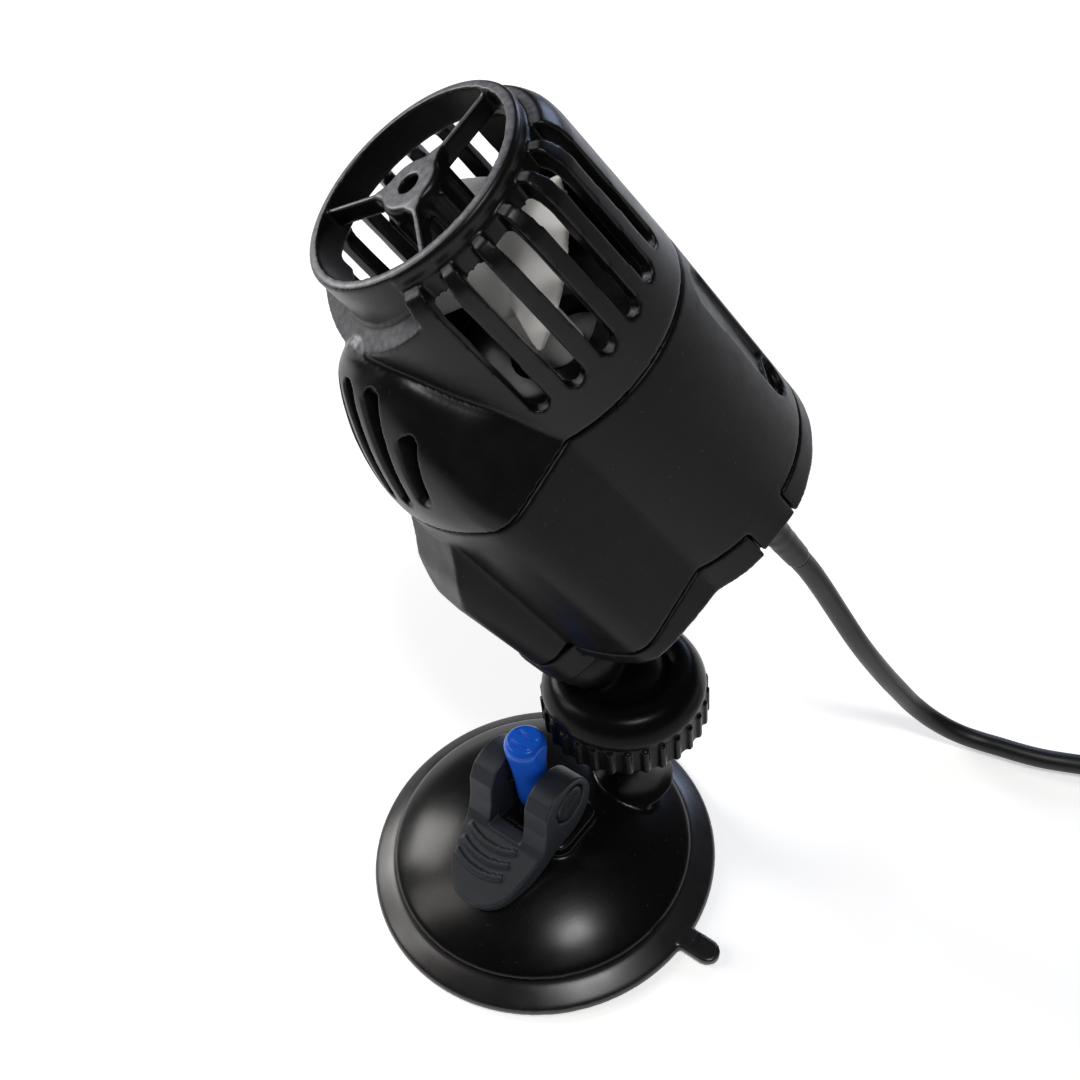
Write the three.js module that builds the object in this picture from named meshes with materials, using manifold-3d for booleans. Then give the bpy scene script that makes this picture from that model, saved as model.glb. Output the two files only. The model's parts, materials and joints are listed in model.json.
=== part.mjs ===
// A small aquarium wave maker pump on a lever-locked suction cup.
// Millimetres, +Z up. The origin is the centre of the suction cup, on the surface that it grips.
// The pump's own pieces are drawn in the pump frame: its origin is the centre of the nozzle's face,
// +Z points out of the nozzle, +X towards the keel and +Y towards the side that the cable leaves.

import * as THREE from "three";
import { mergeVertices } from "three/addons/utils/BufferGeometryUtils.js";
import Module from "manifold-3d";

const wasm = await Module();
wasm.setup();

// Driving dimensions.
const GAP = 0.3; // clearance between neighbouring pieces
const DEG = Math.PI / 180;

const CUP_RADIUS = 37.5;
const DOME_RADIUS = 32.4;
const DOME_BOTTOM = 4.6;
const DOME_TOP = 14.9;
const DOME_WALL = 2.0;

const LEVER_ANGLE = -133.4; // compass of the lever's arm about the cup's axis
const PIVOT_HEIGHT = 27;
const PLATFORM_TOP = 17.2; // the flat that the lever's cams press on
const EAR_INNER = 4.2; // half the fork's gap
const EAR_OUTER = 10.1; // half the lever's width
const CAM_RADIUS = 8;
const CAM_OFFSET = 1.5; // the cam's centre lies this far out and below the pivot
const PIN_RADIUS = 1.8;

const POST_X = 21.3;
const POST_Y = 9.05;
const BALL_HEIGHT = 44.1;
const BALL_RADIUS = 9.6;
const NUT_RADIUS = 16.6;
const NUT_RIBS = 30;

const LEAN = 30.4; // how far the pump leans from upright
const LEAN_COMPASS = 191.65; // the way that it leans
const ROLL = 20.6; // how far it is rolled about its own axis

const STEM_OFFSET = 38; // the ball stem's distance from the pump's axis
const BALL_DEPTH = 105.3; // the ball's centre behind the nozzle's face

const BODY_RADIUS = 25; // round upper part of the body
const BELLY_RADIUS = 38.4; // broad underside of the keel
const CREASE_ANGLE = 55.4; // where the round part meets the keel's flank
const FLANK_FLARE = 8;
const FLANK_CORNER = 5.5;
const WALL = 2.2;
const RAIL_HALF_WIDTH = 7.5;
const RAIL_TOP = 45.6;

const NOZZLE_RADIUS = 19.6;
const COLLAR_RADIUS = 19.3;
const NOZZLE_BORE = 17.5;
const CAGE_END = 37.1; // seams, as depths behind the nozzle's face
const HOUSING_END = 78.4;
const CAP_END = 89;

const BARREL_FRONT = 23.3; // the round barrel's radius behind its shoulder
const SHOULDER_END = 8.6;
const NECK_SPREAD = 47.5; // half the angle of the ledge over the chin
const NECK_WALL = 2.4;
const SLOTS_EACH_SIDE = 6;
const FIRST_SLOT = 57.5; // its angle from the keel
const SLOT_PITCH = 16;
const SLOT_WIDTH = 3.5;
const SLOT_END = 30;

const SHAFT_RADIUS = 1.5;
const ROTOR_RADIUS = 7.9;
const CAN_BORE = 8.6;
const CAN_RADIUS = 10;

const CAN_END = 72;
const BUSH_RADIUS = 3.6;
const RUNNING_FIT = 0.1;
const BLADE_LENGTH = 13;
const BLADE_END = 24.5;
const BLADE_TWIST = 5.2; // degrees for each millimetre along the shaft
const CHIN_SLOT_PITCH = 5.2;
const CHIN_SLOT_WIDTH = 3.1;
const SPIGOT_RADIUS = 4.5;
const SOCKET_END = 86.3;
const STEM_END = BALL_DEPTH - SOCKET_END - GAP;
const GLAND_RADIUS = 2.9;
const TAB_ANGLE = -43.5;

const CORD_DIAMETER = 4.4;
const COIL_X = 170.3;
const COIL_Y = 18.2;
const COIL_OUTER = 36;
const COIL_INNER = 15.4;
const COIL_BOTTOM = 0.9;
const COIL_TOP = 9.9;
const CABLE_SIDE = 19.2; // the gland's distance from the pump's axis
const CABLE_SET_BACK = 0.8;
const GLAND_START = 80.6;
const GLAND_END = 100.6;
const PLUG_REAR = 155.3; // the plug's rear face, along X
const PLUG_Y = -36.5;
const PLUG_MIDDLE = 7.3; // the height of its contacts
const PLUG_LENGTH = 34;

// ---------------------------------------------------------------- solids

function signedVolume(position, index) {
  const a = new THREE.Vector3();
  const b = new THREE.Vector3();
  const c = new THREE.Vector3();
  let volume = 0;
  for (let i = 0; i < index.length; i += 3) {
    a.fromBufferAttribute(position, index[i]);
    b.fromBufferAttribute(position, index[i + 1]);
    c.fromBufferAttribute(position, index[i + 2]);
    volume += a.dot(b.cross(c)) / 6;
  }
  return volume;
}

// A closed geometry as a solid, with its faces turned outwards.
function solid(geometry) {
  const bare = geometry.clone();
  bare.deleteAttribute("normal");
  bare.deleteAttribute("uv");
  const merged = mergeVertices(bare, 1e-4);
  const index = Array.from(merged.index.array);
  const kept = [];
  for (let i = 0; i < index.length; i += 3) {
    const [p, q, r] = index.slice(i, i + 3);
    if (p !== q && q !== r && r !== p) kept.push(p, q, r);
  }
  if (signedVolume(merged.attributes.position, kept) < 0) kept.reverse();
  const mesh = new wasm.Mesh({
    numProp: 3,
    vertProperties: new Float32Array(merged.attributes.position.array),
    triVerts: new Uint32Array(kept),
  });
  return new wasm.Manifold(mesh);
}

function geometryOf(body) {
  const mesh = body.getMesh();
  const geometry = new THREE.BufferGeometry();
  const positions = new Float32Array(mesh.vertProperties);
  geometry.setAttribute("position", new THREE.BufferAttribute(positions, 3));
  geometry.setIndex(new THREE.BufferAttribute(new Uint32Array(mesh.triVerts), 1));
  geometry.computeVertexNormals();
  return geometry;
}

function join(bodies) {
  return bodies.reduce((whole, body) => whole.add(body));
}

function cut(body, tools) {
  return tools.reduce((whole, tool) => whole.subtract(tool), body);
}

// A solid turned about +Z from [radius, height] points, which start and end on the axis or close.
function turned(points, segments = 48) {
  const profile = points.map(([r, z]) => new THREE.Vector2(Math.max(r, 0), z));
  return new THREE.LatheGeometry(profile, segments).rotateX(Math.PI / 2);
}

// The same, for pieces of the pump: heights are depths behind the nozzle's face.
function turnedDeep(points, segments = 48) {
  return turned(points.map(([r, depth]) => [r, -depth]), segments);
}

function ring(outer, inner, low, high, segments = 48) {
  const points = [[inner, low], [outer, low], [outer, high], [inner, high], [inner, low]];
  return turned(points, segments);
}

function rod(radius, low, high, segments = 32) {
  return turned([[0, low], [radius, low], [radius, high], [0, high]], segments);
}

function block(x0, x1, y0, y1, z0, z1) {
  const box = new THREE.BoxGeometry(x1 - x0, y1 - y0, z1 - z0);
  return box.translate((x0 + x1) / 2, (y0 + y1) / 2, (z0 + z1) / 2);
}

function outline(points) {
  return new THREE.Shape(points.map(([x, y]) => new THREE.Vector2(x, y)));
}

// An outline in X and Y, from one height to another.
function prism(points, low, high) {
  const settings = { depth: high - low, bevelEnabled: false };
  return new THREE.ExtrudeGeometry(outline(points), settings).translate(0, 0, low);
}

// An outline in X and Z, thickened along Y.
function slabXZ(points, y0, y1) {
  return prism(points, -y1, -y0).rotateX(Math.PI / 2);
}

// An outline in Y and Z, thickened along X.
function slabYZ(points, x0, x1) {
  return prism(points.map(([y, z]) => [-z, y]), x0, x1).rotateY(Math.PI / 2);
}

function arc(cx, cy, radius, from, to, steps) {
  const points = [];
  for (let i = 0; i <= steps; i += 1) {
    const angle = (from + ((to - from) * i) / steps) * DEG;
    points.push([cx + radius * Math.cos(angle), cy + radius * Math.sin(angle)]);
  }
  return points;
}

// A slot outline with round ends, between two points of its middle line.
function stadium(x0, y0, x1, y1, radius, steps = 6) {
  const heading = Math.atan2(y1 - y0, x1 - x0) / DEG;
  const near = arc(x0, y0, radius, heading + 90, heading + 270, steps);
  const far = arc(x1, y1, radius, heading - 90, heading + 90, steps);
  return near.concat(far);
}

// ---------------------------------------------------------------- body section

// The body's section, inset from its outside: round above, with flared flanks and a broad belly.
function bodyOutline(inset) {
  const round = BODY_RADIUS - inset;
  const belly = BELLY_RADIUS - inset;
  const corner = FLANK_CORNER - inset * 0.6;
  const flare = FLANK_FLARE * DEG;
  const along = [Math.cos(flare), Math.sin(flare)];
  const inward = [Math.sin(flare), -Math.cos(flare)];
  const crease = [
    BODY_RADIUS * Math.cos(CREASE_ANGLE * DEG) + inset * inward[0],
    BODY_RADIUS * Math.sin(CREASE_ANGLE * DEG) + inset * inward[1],
  ];
  const along0 = crease[0] * along[0] + crease[1] * along[1];
  const clear = crease[0] * inward[0] + crease[1] * inward[1];
  const start = Math.sqrt(round * round - clear * clear);
  const startPoint = [
    crease[0] + (start - along0) * along[0],
    crease[1] + (start - along0) * along[1],
  ];
  const cornerClear = clear + corner;
  const reach = Math.sqrt((belly - corner) ** 2 - cornerClear * cornerClear);
  const centre = [
    crease[0] + (reach - along0) * along[0] + corner * inward[0],
    crease[1] + (reach - along0) * along[1] + corner * inward[1],
  ];
  const cornerFrom = 90 + FLANK_FLARE;
  const cornerTo = Math.atan2(centre[1], centre[0]) / DEG;
  const upper = arc(centre[0], centre[1], corner, cornerTo, cornerFrom, 5);
  const bellyHalf = arc(0, 0, belly, 0, cornerTo, 6).slice(1, -1);
  const half = bellyHalf.concat(upper, [startPoint]);
  const startAngle = Math.atan2(startPoint[1], startPoint[0]) / DEG;
  const back = arc(0, 0, round, startAngle, 360 - startAngle, 32).slice(1, -1);
  const mirrored = half.map(([x, y]) => [x, -y]).reverse();
  return [[belly, 0]].concat(half, back, mirrored);
}

// The whole body widens a little from the front seam to the rear.
function taper(depth) {
  return 0.984 + (depth - CAGE_END) * 0.00097;
}

function bodyPrism(inset, from, to) {
  const geometry = prism(bodyOutline(inset), -to, -from);
  const place = geometry.attributes.position;
  for (let i = 0; i < place.count; i += 1) {
    const scale = taper(-place.getZ(i));
    place.setX(i, place.getX(i) * scale);
    place.setY(i, place.getY(i) * scale);
  }
  return solid(geometry);
}

// How far an outline reaches from the axis at an angle.
function reachOf(points, angle) {
  const [c, s] = [Math.cos(angle * DEG), Math.sin(angle * DEG)];
  let reach = 0;
  points.forEach(([x0, y0], i) => {
    const [x1, y1] = points[(i + 1) % points.length];
    const off0 = y0 * c - x0 * s;
    const off1 = y1 * c - x1 * s;
    if (off0 * off1 > 0 || off0 === off1) return;
    const t = off0 / (off0 - off1);
    reach = Math.max(reach, (x0 + (x1 - x0) * t) * c + (y0 + (y1 - y0) * t) * s);
  });
  return reach;
}

// ---------------------------------------------------------------- front cage

// How far the chin reaches from the pump's axis, as [reach, depth].
const CHIN_SIDE = [
  [22.9, 9.6], [24.9, 10.6], [26.5, 12], [28.8, 14], [31, 17.4], [32.8, 20.8],
  [34.4, 24.3], [35.7, 27.8], [36.8, 31.4], [37.5, 34.4], [37.8, CAGE_END],
];

// Half the angle that the chin covers on the round barrel, as [angle, depth].
const CHIN_SPREAD = [
  [3, 9.6], [12, 11.6], [24, 15.3], [35, 21.4], [43.6, 26.6], [52.3, 34.7], [CREASE_ANGLE, CAGE_END],
];

function valueAt(table, depth) {
  const next = Math.max(1, table.findIndex(([, place]) => place >= depth));
  const [[v0, d0], [v1, d1]] = [table[next - 1], table[next]];
  return v0 + ((v1 - v0) * (depth - d0)) / (d1 - d0);
}

function barrelRadius(depth) {
  const rear = BODY_RADIUS * taper(CAGE_END);
  return BARREL_FRONT + ((rear - BARREL_FRONT) * (depth - SHOULDER_END)) / (CAGE_END - SHOULDER_END);
}

// The chin's section, as a wedge from the axis: round near the nozzle, the body's own at the seam.
function chinSection(depth, inset, steps = 14) {
  const spread = Math.max(1, valueAt(CHIN_SPREAD, depth) - inset * 2.8);
  const barrel = barrelRadius(depth);
  const rise = valueAt(CHIN_SIDE, depth) - barrel;
  const blend = THREE.MathUtils.smoothstep(depth, 12, CAGE_END);
  const body = bodyOutline(0);
  const points = [[0, 0]];
  for (let i = -steps; i <= steps; i += 1) {
    const across = i / steps;
    const round = Math.sqrt(1 - across * across);
    const squareReach = reachOf(body, Math.abs(across) * CREASE_ANGLE);
    const square = (squareReach - BODY_RADIUS) / (BELLY_RADIUS - BODY_RADIUS);
    const reach = barrel - inset + rise * (round + (square - round) * blend);
    const angle = across * spread * DEG;
    points.push([reach * Math.cos(angle), reach * Math.sin(angle)]);
  }
  return points;
}

// A solid skinned over sections with equally many points, each a fan about its first point.
function skinned(sections) {
  const count = sections[0].length;
  const index = [];
  const last = (sections.length - 1) * count;
  for (let i = 1; i + 1 < count; i += 1) {
    index.push(0, i, i + 1, last, last + i + 1, last + i);
  }
  for (let row = 0; row < last; row += count) {
    for (let i = 0; i < count; i += 1) {
      const next = (i + 1) % count;
      index.push(row + i, row + count + i, row + next);
      index.push(row + next, row + count + i, row + count + next);
    }
  }
  const geometry = new THREE.BufferGeometry();
  geometry.setAttribute("position", new THREE.Float32BufferAttribute(sections.flat(2), 3));
  geometry.setIndex(index);
  return geometry;
}

function chin(inset, end) {
  const sections = CHIN_SIDE.map(([, depth]) => {
    const place = depth === CAGE_END ? end : depth + inset * 0.8;
    return chinSection(depth, inset).map(([x, y]) => [x, y, -place]);
  });
  return solid(skinned(sections));
}

// The space outside a radius and over a sloping plane, on the chin's side of the nozzle.
function neckSpace(radius, lower) {
  const wedge = slabXZ([[8, 3], [30, 3], [30, -13.3 - lower], [8, -3.7 - lower]], -30, 30);
  const sector = arc(0, 0, 34, -NECK_SPREAD, NECK_SPREAD, 12).concat([[4, 0]]);
  const around = solid(prism(sector, -20, 5));
  return solid(wedge).intersect(around).subtract(solid(rod(radius, -20, 5, 56)));
}

function cageSlots() {
  const radius = SLOT_WIDTH / 2;
  const slots = [];
  for (let i = 0; i < SLOTS_EACH_SIDE; i += 1) {
    [1, -1].forEach((way) => {
      const slot = slabYZ(stadium(0, 1, 0, radius - SLOT_END, radius, 3), COLLAR_RADIUS + GAP, 28);
      slots.push(solid(slot.rotateZ(way * (FIRST_SLOT + i * SLOT_PITCH) * DEG)));
    });
  }
  return slots;
}

function chinSlots() {
  const spans = [[14.2, 31.6], [15, 31.2], [21.6, 30]];
  const slots = [];
  for (let i = -2; i <= 2; i += 1) {
    const [from, to] = spans[Math.abs(i)];
    const y = i * CHIN_SLOT_PITCH;
    slots.push(solid(slabYZ(stadium(y, -from, y, -to, CHIN_SLOT_WIDTH / 2, 3), BODY_RADIUS + 1, 45)));
  }
  return slots;
}

// The shaft's front bearing boss on three thin spokes, across the nozzle.
function nozzleHub() {
  const spokes = [180, 60, -60].map((angle) => {
    const spoke = block(3.5, NOZZLE_BORE + 0.8, -0.5, 0.5, -3.8, -0.5);
    return solid(spoke.rotateZ(angle * DEG));
  });
  const boss = solid(turnedDeep([[0, 0.3], [4.8, 0.3], [5.4, 0.9], [5.4, 10], [0, 10]], 20));
  const seat = BUSH_RADIUS + GAP;
  const bore = turnedDeep([[0, -1], [1.75, -1], [1.75, 4], [seat, 4], [seat, 11], [0, 11]], 20);
  return join([boss, ...spokes]).subtract(solid(bore));
}

function frontCage() {
  const rear = BODY_RADIUS * taper(CAGE_END);
  const barrel = solid(turnedDeep([
    [0, 0], [19, 0], [NOZZLE_RADIUS, 0.5], [NOZZLE_RADIUS, 1.4], [COLLAR_RADIUS, 2.1], [COLLAR_RADIUS, 2.9],
    [20.9, 3.2], [22.1, 4.5], [22.9, 6.2], [BARREL_FRONT, SHOULDER_END], [rear, CAGE_END], [0, CAGE_END],
  ], 56));
  const hollow = solid(turnedDeep([
    [0, -1], [NOZZLE_BORE, -1], [NOZZLE_BORE, 5.6], [19, 6], [20.3, 7.2],
    [BARREL_FRONT - WALL, 9.4], [rear - WALL, CAGE_END], [rear - WALL, CAGE_END + 1], [0, CAGE_END + 1],
  ], 56));
  const bowl = hollow.subtract(neckSpace(NOZZLE_BORE, NECK_WALL));
  const chinBowl = chin(WALL, CAGE_END + 1).subtract(neckSpace(NOZZLE_BORE, NECK_WALL));
  const shell = barrel.subtract(neckSpace(COLLAR_RADIUS, 0)).add(chin(0, CAGE_END));
  const open = cut(shell, [bowl, chinBowl, ...cageSlots(), ...chinSlots()]);
  return open.add(nozzleHub());
}

// ---------------------------------------------------------------- motor and rotor

function bladeSection() {
  return outline([[4.8, -1], [12, -1.1], [18.4, -0.8], [19.2, 0], [18.4, 0.8], [12, 1.1], [4.8, 1]]);
}

// A propeller blade: its section turns as it goes along the shaft.
function blade(start) {
  const settings = { depth: BLADE_LENGTH, steps: 6, bevelEnabled: false };
  const geometry = new THREE.ExtrudeGeometry(bladeSection(), settings);
  const place = geometry.attributes.position;
  for (let i = 0; i < place.count; i += 1) {
    const turn = (start + place.getZ(i) * BLADE_TWIST) * DEG;
    const x = place.getX(i);
    const y = place.getY(i);
    place.setX(i, x * Math.cos(turn) - y * Math.sin(turn));
    place.setY(i, x * Math.sin(turn) + y * Math.cos(turn));
  }
  return solid(geometry.translate(0, 0, -BLADE_END));
}

function impeller() {
  const hub = solid(turnedDeep([
    [0, 11], [4.8, 11], [5.8, 12.2], [5.8, 25.6], [4, 27], [4, 41.6], [0, 41.6],
  ], 24));
  const bore = solid(rod(SHAFT_RADIUS + RUNNING_FIT, -43, -10, 24));
  return join([hub, blade(70), blade(190), blade(310)]).subtract(bore);
}

function rotorMagnet() {
  return solid(ring(ROTOR_RADIUS, SHAFT_RADIUS + RUNNING_FIT, -68, -41.9, 24));
}

function rotorCan() {
  const plate = bodyPrism(WALL + 0.5, CAGE_END + 0.7, CAGE_END + 2.7);
  const tube = solid(rod(CAN_RADIUS, -CAN_END, -CAGE_END - 1, 28));
  const bore = solid(rod(CAN_BORE, 1.6 - CAN_END, -30, 28));
  return plate.add(tube).subtract(bore);
}

const CORE_FROM = 44;
const CORE_TO = 64;
const LEG_INNER = 9.4;
const LEG_OUTER = 14.6;

function statorCore() {
  const frame = solid(block(-12, 30.5, -LEG_OUTER, LEG_OUTER, -CORE_TO, -CORE_FROM));
  return cut(frame, [
    solid(rod(CAN_RADIUS + 0.5, -70, -40, 40)),
    solid(block(0, 25, -LEG_INNER, LEG_INNER, -70, -40)),
    solid(block(-13, 0, -2, 2, -70, -40)),
  ]);
}

function roundedRect(x0, x1, y0, y1, radius) {
  return [].concat(
    arc(x1 - radius, y1 - radius, radius, 0, 90, 4),
    arc(x0 + radius, y1 - radius, radius, 90, 180, 4),
    arc(x0 + radius, y0 + radius, radius, 180, 270, 4),
    arc(x1 - radius, y0 + radius, radius, 270, 360, 4),
  );
}

// A winding round one leg of the core.
function winding(way) {
  const thick = 3;
  const middle = (way * (LEG_INNER + LEG_OUTER)) / 2;
  const half = (LEG_OUTER - LEG_INNER) / 2 + GAP;
  const outer = roundedRect(middle - half - thick, middle + half + thick, -CORE_TO - 3, -CORE_FROM + 3, 2.5);
  const inner = block(10, 26, middle - half, middle + half, -CORE_TO - GAP, -CORE_FROM + GAP);
  return solid(slabYZ(outer, 11.6, 24)).subtract(solid(inner));
}

// ---------------------------------------------------------------- housing and rear cap

function railSection() {
  const corner = 4.5;
  const middle = RAIL_HALF_WIDTH - corner;
  return [[30, -RAIL_HALF_WIDTH]].concat(
    arc(RAIL_TOP - corner, -middle, corner, 270, 360, 4),
    arc(RAIL_TOP - corner, middle, corner, 0, 90, 4),
    [[30, RAIL_HALF_WIDTH]],
  );
}

// The rail along the keel, which rises from it on a ramp.
function rail(from, to) {
  const ramp = [
    [30, -41], [37.9, -43], [40.2, -46.5], [42.6, -49.8], [44.4, -53.4], [47, -58.5],
    [47, -to - 1], [30, -to - 1],
  ];
  return solid(prism(railSection(), -to, -from)).intersect(solid(slabXZ(ramp, -12, 12)));
}

// The tab that reaches back beside the cable's gland.
function cableTab(grow, from, to) {
  const span = 10 + grow;
  const radius = BODY_RADIUS * taper(HOUSING_END);
  const outer = arc(0, 0, radius + grow * 2, 90 - span, 90 + span, 6);
  const inner = arc(0, 0, radius - 2 - grow * 0.4, 90 + span, 90 - span, 6);
  return solid(prism(outer.concat(inner), -to, -from));
}

function midHousing() {
  const start = CAGE_END + GAP;
  const shell = bodyPrism(0, start, HOUSING_END).add(rail(start, HOUSING_END));
  const hollow = bodyPrism(WALL, start - 1, HOUSING_END + 1);
  const recesses = [1, -1].map((way) => {
    const shape = stadium(0, -45, 0, -69.5, 4, 6);
    return solid(slabYZ(shape, BODY_RADIUS - 1.2, 30).rotateZ(way * 144.5 * DEG));
  });
  return cut(shell, [hollow, ...recesses]).add(cableTab(0, HOUSING_END - 2, 84.6));
}

function rearCap() {
  const start = HOUSING_END + GAP;
  const domed = new THREE.SphereGeometry(90, 48, 24).rotateX(Math.PI / 2).translate(6, 0, 90 - CAP_END);
  const shell = bodyPrism(0, start, CAP_END + 1).intersect(solid(domed));
  const hollow = bodyPrism(WALL, start - 1, 82.2);
  const railEnd = solid(prism(railSection(), -SOCKET_END, -start));
  const socket = solid(rod(8.2, -SOCKET_END, -start, 28).translate(STEM_OFFSET, 0, 0));
  const bores = [
    solid(rod(SPIGOT_RADIUS + GAP, -SOCKET_END - 1, -80, 28).translate(STEM_OFFSET, 0, 0)),
    solid(rod(GLAND_RADIUS + GAP, -95, -70, 24).translate(-CABLE_SET_BACK, CABLE_SIDE, 0)),
    cableTab(0.8, start - 1, CAP_END + 1),
  ];
  return cut(join([cut(shell, [hollow]), railEnd, socket]), bores);
}

function cableGland() {
  return turned([
    [0, -GLAND_END], [2.4, -GLAND_END], [GLAND_RADIUS, -GLAND_START - 6], [GLAND_RADIUS, -GLAND_START],
    [0, -GLAND_START],
  ], 24).translate(-CABLE_SET_BACK, CABLE_SIDE, 0);
}

// ---------------------------------------------------------------- ball joint and nut

// The ball is at the origin and its stem goes up, into the rear cap.
function ballStem() {
  const ball = arc(0, 0, BALL_RADIUS, -90, 56, 8).slice(1);
  const stem = [
    [5.5, 9.2], [6.4, 11], [7.2, 12.6], [7.2, STEM_END], [SPIGOT_RADIUS, STEM_END],
    [SPIGOT_RADIUS, STEM_END + 5.8], [0, STEM_END + 5.8],
  ];
  return turned([[0, -BALL_RADIUS], ...ball, ...stem], 28);
}

function ballSeat() {
  const outer = arc(0, 0, 11.3, -90, -3, 6).slice(1);
  const inner = arc(0, 0, 9.9, -3, -90, 6).slice(0, -1);
  return turned([[0, -11.3], ...outer, ...inner, [0, -9.9]], 28);
}

// The nut, with the ball's centre at the origin.
function collarNut() {
  const teeth = [];
  const step = 360 / NUT_RIBS;
  for (let i = 0; i < NUT_RIBS; i += 1) {
    const at = i * step;
    teeth.push(...arc(0, 0, NUT_RADIUS + 0.6, at - step * 0.26, at + step * 0.26, 1));
    teeth.push(...arc(0, 0, NUT_RADIUS - 0.2, at + step * 0.38, at + step * 0.62, 1));
  }
  const skirt = solid(prism(teeth, -8.5, -1.9));
  const crown = solid(turned([
    [0, -3], [NUT_RADIUS - 0.3, -3], [NUT_RADIUS, -1.2], [NUT_RADIUS, 0.4], [15.6, 2.6],
    [14.2, 4.2], [12.6, 4.8], [11, 4.6], [9.2, 3.6], [0, 3.6],
  ], 36));
  const bore = solid(turned([
    [0, -9], [13.7, -9], [13.7, -0.1], [9.95, -0.1], [9.75, 1.9], [9.25, 3.6], [9.25, 6], [0, 6],
  ], 28));
  return join([skirt, crown]).subtract(bore);
}

// ---------------------------------------------------------------- suction cup and lever

function dome() {
  const shell = solid(turned([
    [0, DOME_BOTTOM], [DOME_RADIUS, DOME_BOTTOM], [DOME_RADIUS, 5.6], [31.4, 6.7], [27, 9.3],
    [22, 11.5], [16, 13.4], [10, 14.5], [0, DOME_TOP],
  ], 48));
  const hollow = solid(turned([
    [0, 3], [DOME_RADIUS - DOME_WALL, 3], [DOME_RADIUS - DOME_WALL, 5], [26, 7.4],
    [21, 9.6], [15, 11.4], [9.6, 12.4], [0, DOME_TOP - DOME_WALL],
  ], 24));
  const platform = prism(roundedRect(-8, 6, -11, 11, 3), 12.9, PLATFORM_TOP);
  const bowl = arc(0, BALL_HEIGHT, 11.6, -2, -90, 6).slice(0, -1);
  const post = turned([
    [0, 11.6], [9.6, 11.6], [7.6, 14], [6.2, 17], [5.4, 20.5], [5.2, 26], [7.6, 29.6], [12.2, 32.4],
    [13.3, 34], [13.3, BALL_HEIGHT - 0.4], ...bowl, [0, BALL_HEIGHT - 11.6],
  ], 28);
  const whole = join([
    shell.subtract(hollow),
    solid(platform.rotateZ(LEVER_ANGLE * DEG)),
    solid(post.translate(POST_X, POST_Y, 0)),
  ]);
  return whole.subtract(solid(rod(2.9, 5, 20, 24)));
}

// The cup, pressed flat on its surface, with the pocket that holds the pull rod's foot.
function rubberCup() {
  const disc = solid(turned([
    [0, 0], [CUP_RADIUS - 0.5, 0], [CUP_RADIUS, 0.5], [CUP_RADIUS, 1.5], [36.9, 2.3], [33.2, 4.1],
    [DOME_RADIUS - 0.6, DOME_BOTTOM - GAP], [24, 3.6], [9, 3.6], [8.4, 10], [2.7, 10], [2.7, 8.4],
    [4.6, 8.4], [4.6, 1.4], [0, 1.4],
  ], 48));
  const tab = prism(stadium(35, 0, 42.4, 0, 2.6, 4), 0.4, 2.4);
  return disc.add(solid(tab.rotateZ(TAB_ANGLE * DEG)));
}

// The pull rod: a tapering head that stands between the lever's ears, and a foot in the cup.
function pullRod() {
  const body = solid(turned([
    [0, 4.8], [4.1, 4.8], [4.1, 7.9], [2.1, 8.2], [2.1, 17], [2.7, 19.5], [3.4, 24],
    [3.5, 30], [3.9, 35], [4.3, 38.5], [4.2, 40.2], [3.4, 41.3], [0, 41.7],
  ], 24));
  const bore = rod(PIN_RADIUS + GAP, -15, 15, 16).rotateX(Math.PI / 2);
  bore.rotateZ(LEVER_ANGLE * DEG).translate(0, 0, PIVOT_HEIGHT);
  const flats = [1, -1].map((way) => {
    const side = block(-9, 9, way * 7 - 3, way * 7 + 3, 10, 45);
    return solid(side.translate(0, way * -0.1, 0).rotateZ(LEVER_ANGLE * DEG));
  });
  return cut(body, [solid(bore), ...flats]);
}

// The pin: a cross-slotted head in one ear's dish and a plain rivet in the other's.
function pivotPin() {
  const pin = solid(turned([
    [0, -EAR_OUTER], [3.2, -EAR_OUTER], [3.2, 0.9 - EAR_OUTER], [PIN_RADIUS, 0.9 - EAR_OUTER],
    [PIN_RADIUS, EAR_OUTER - 0.9], [3.9, EAR_OUTER - 0.9], [3.9, EAR_OUTER - 0.2], [3.5, EAR_OUTER],
    [0, EAR_OUTER],
  ], 16).rotateX(-Math.PI / 2));
  return pin.subtract(solid(block(-5, 5, EAR_OUTER - 0.5, EAR_OUTER + 1, -0.5, 0.5)));
}

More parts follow.
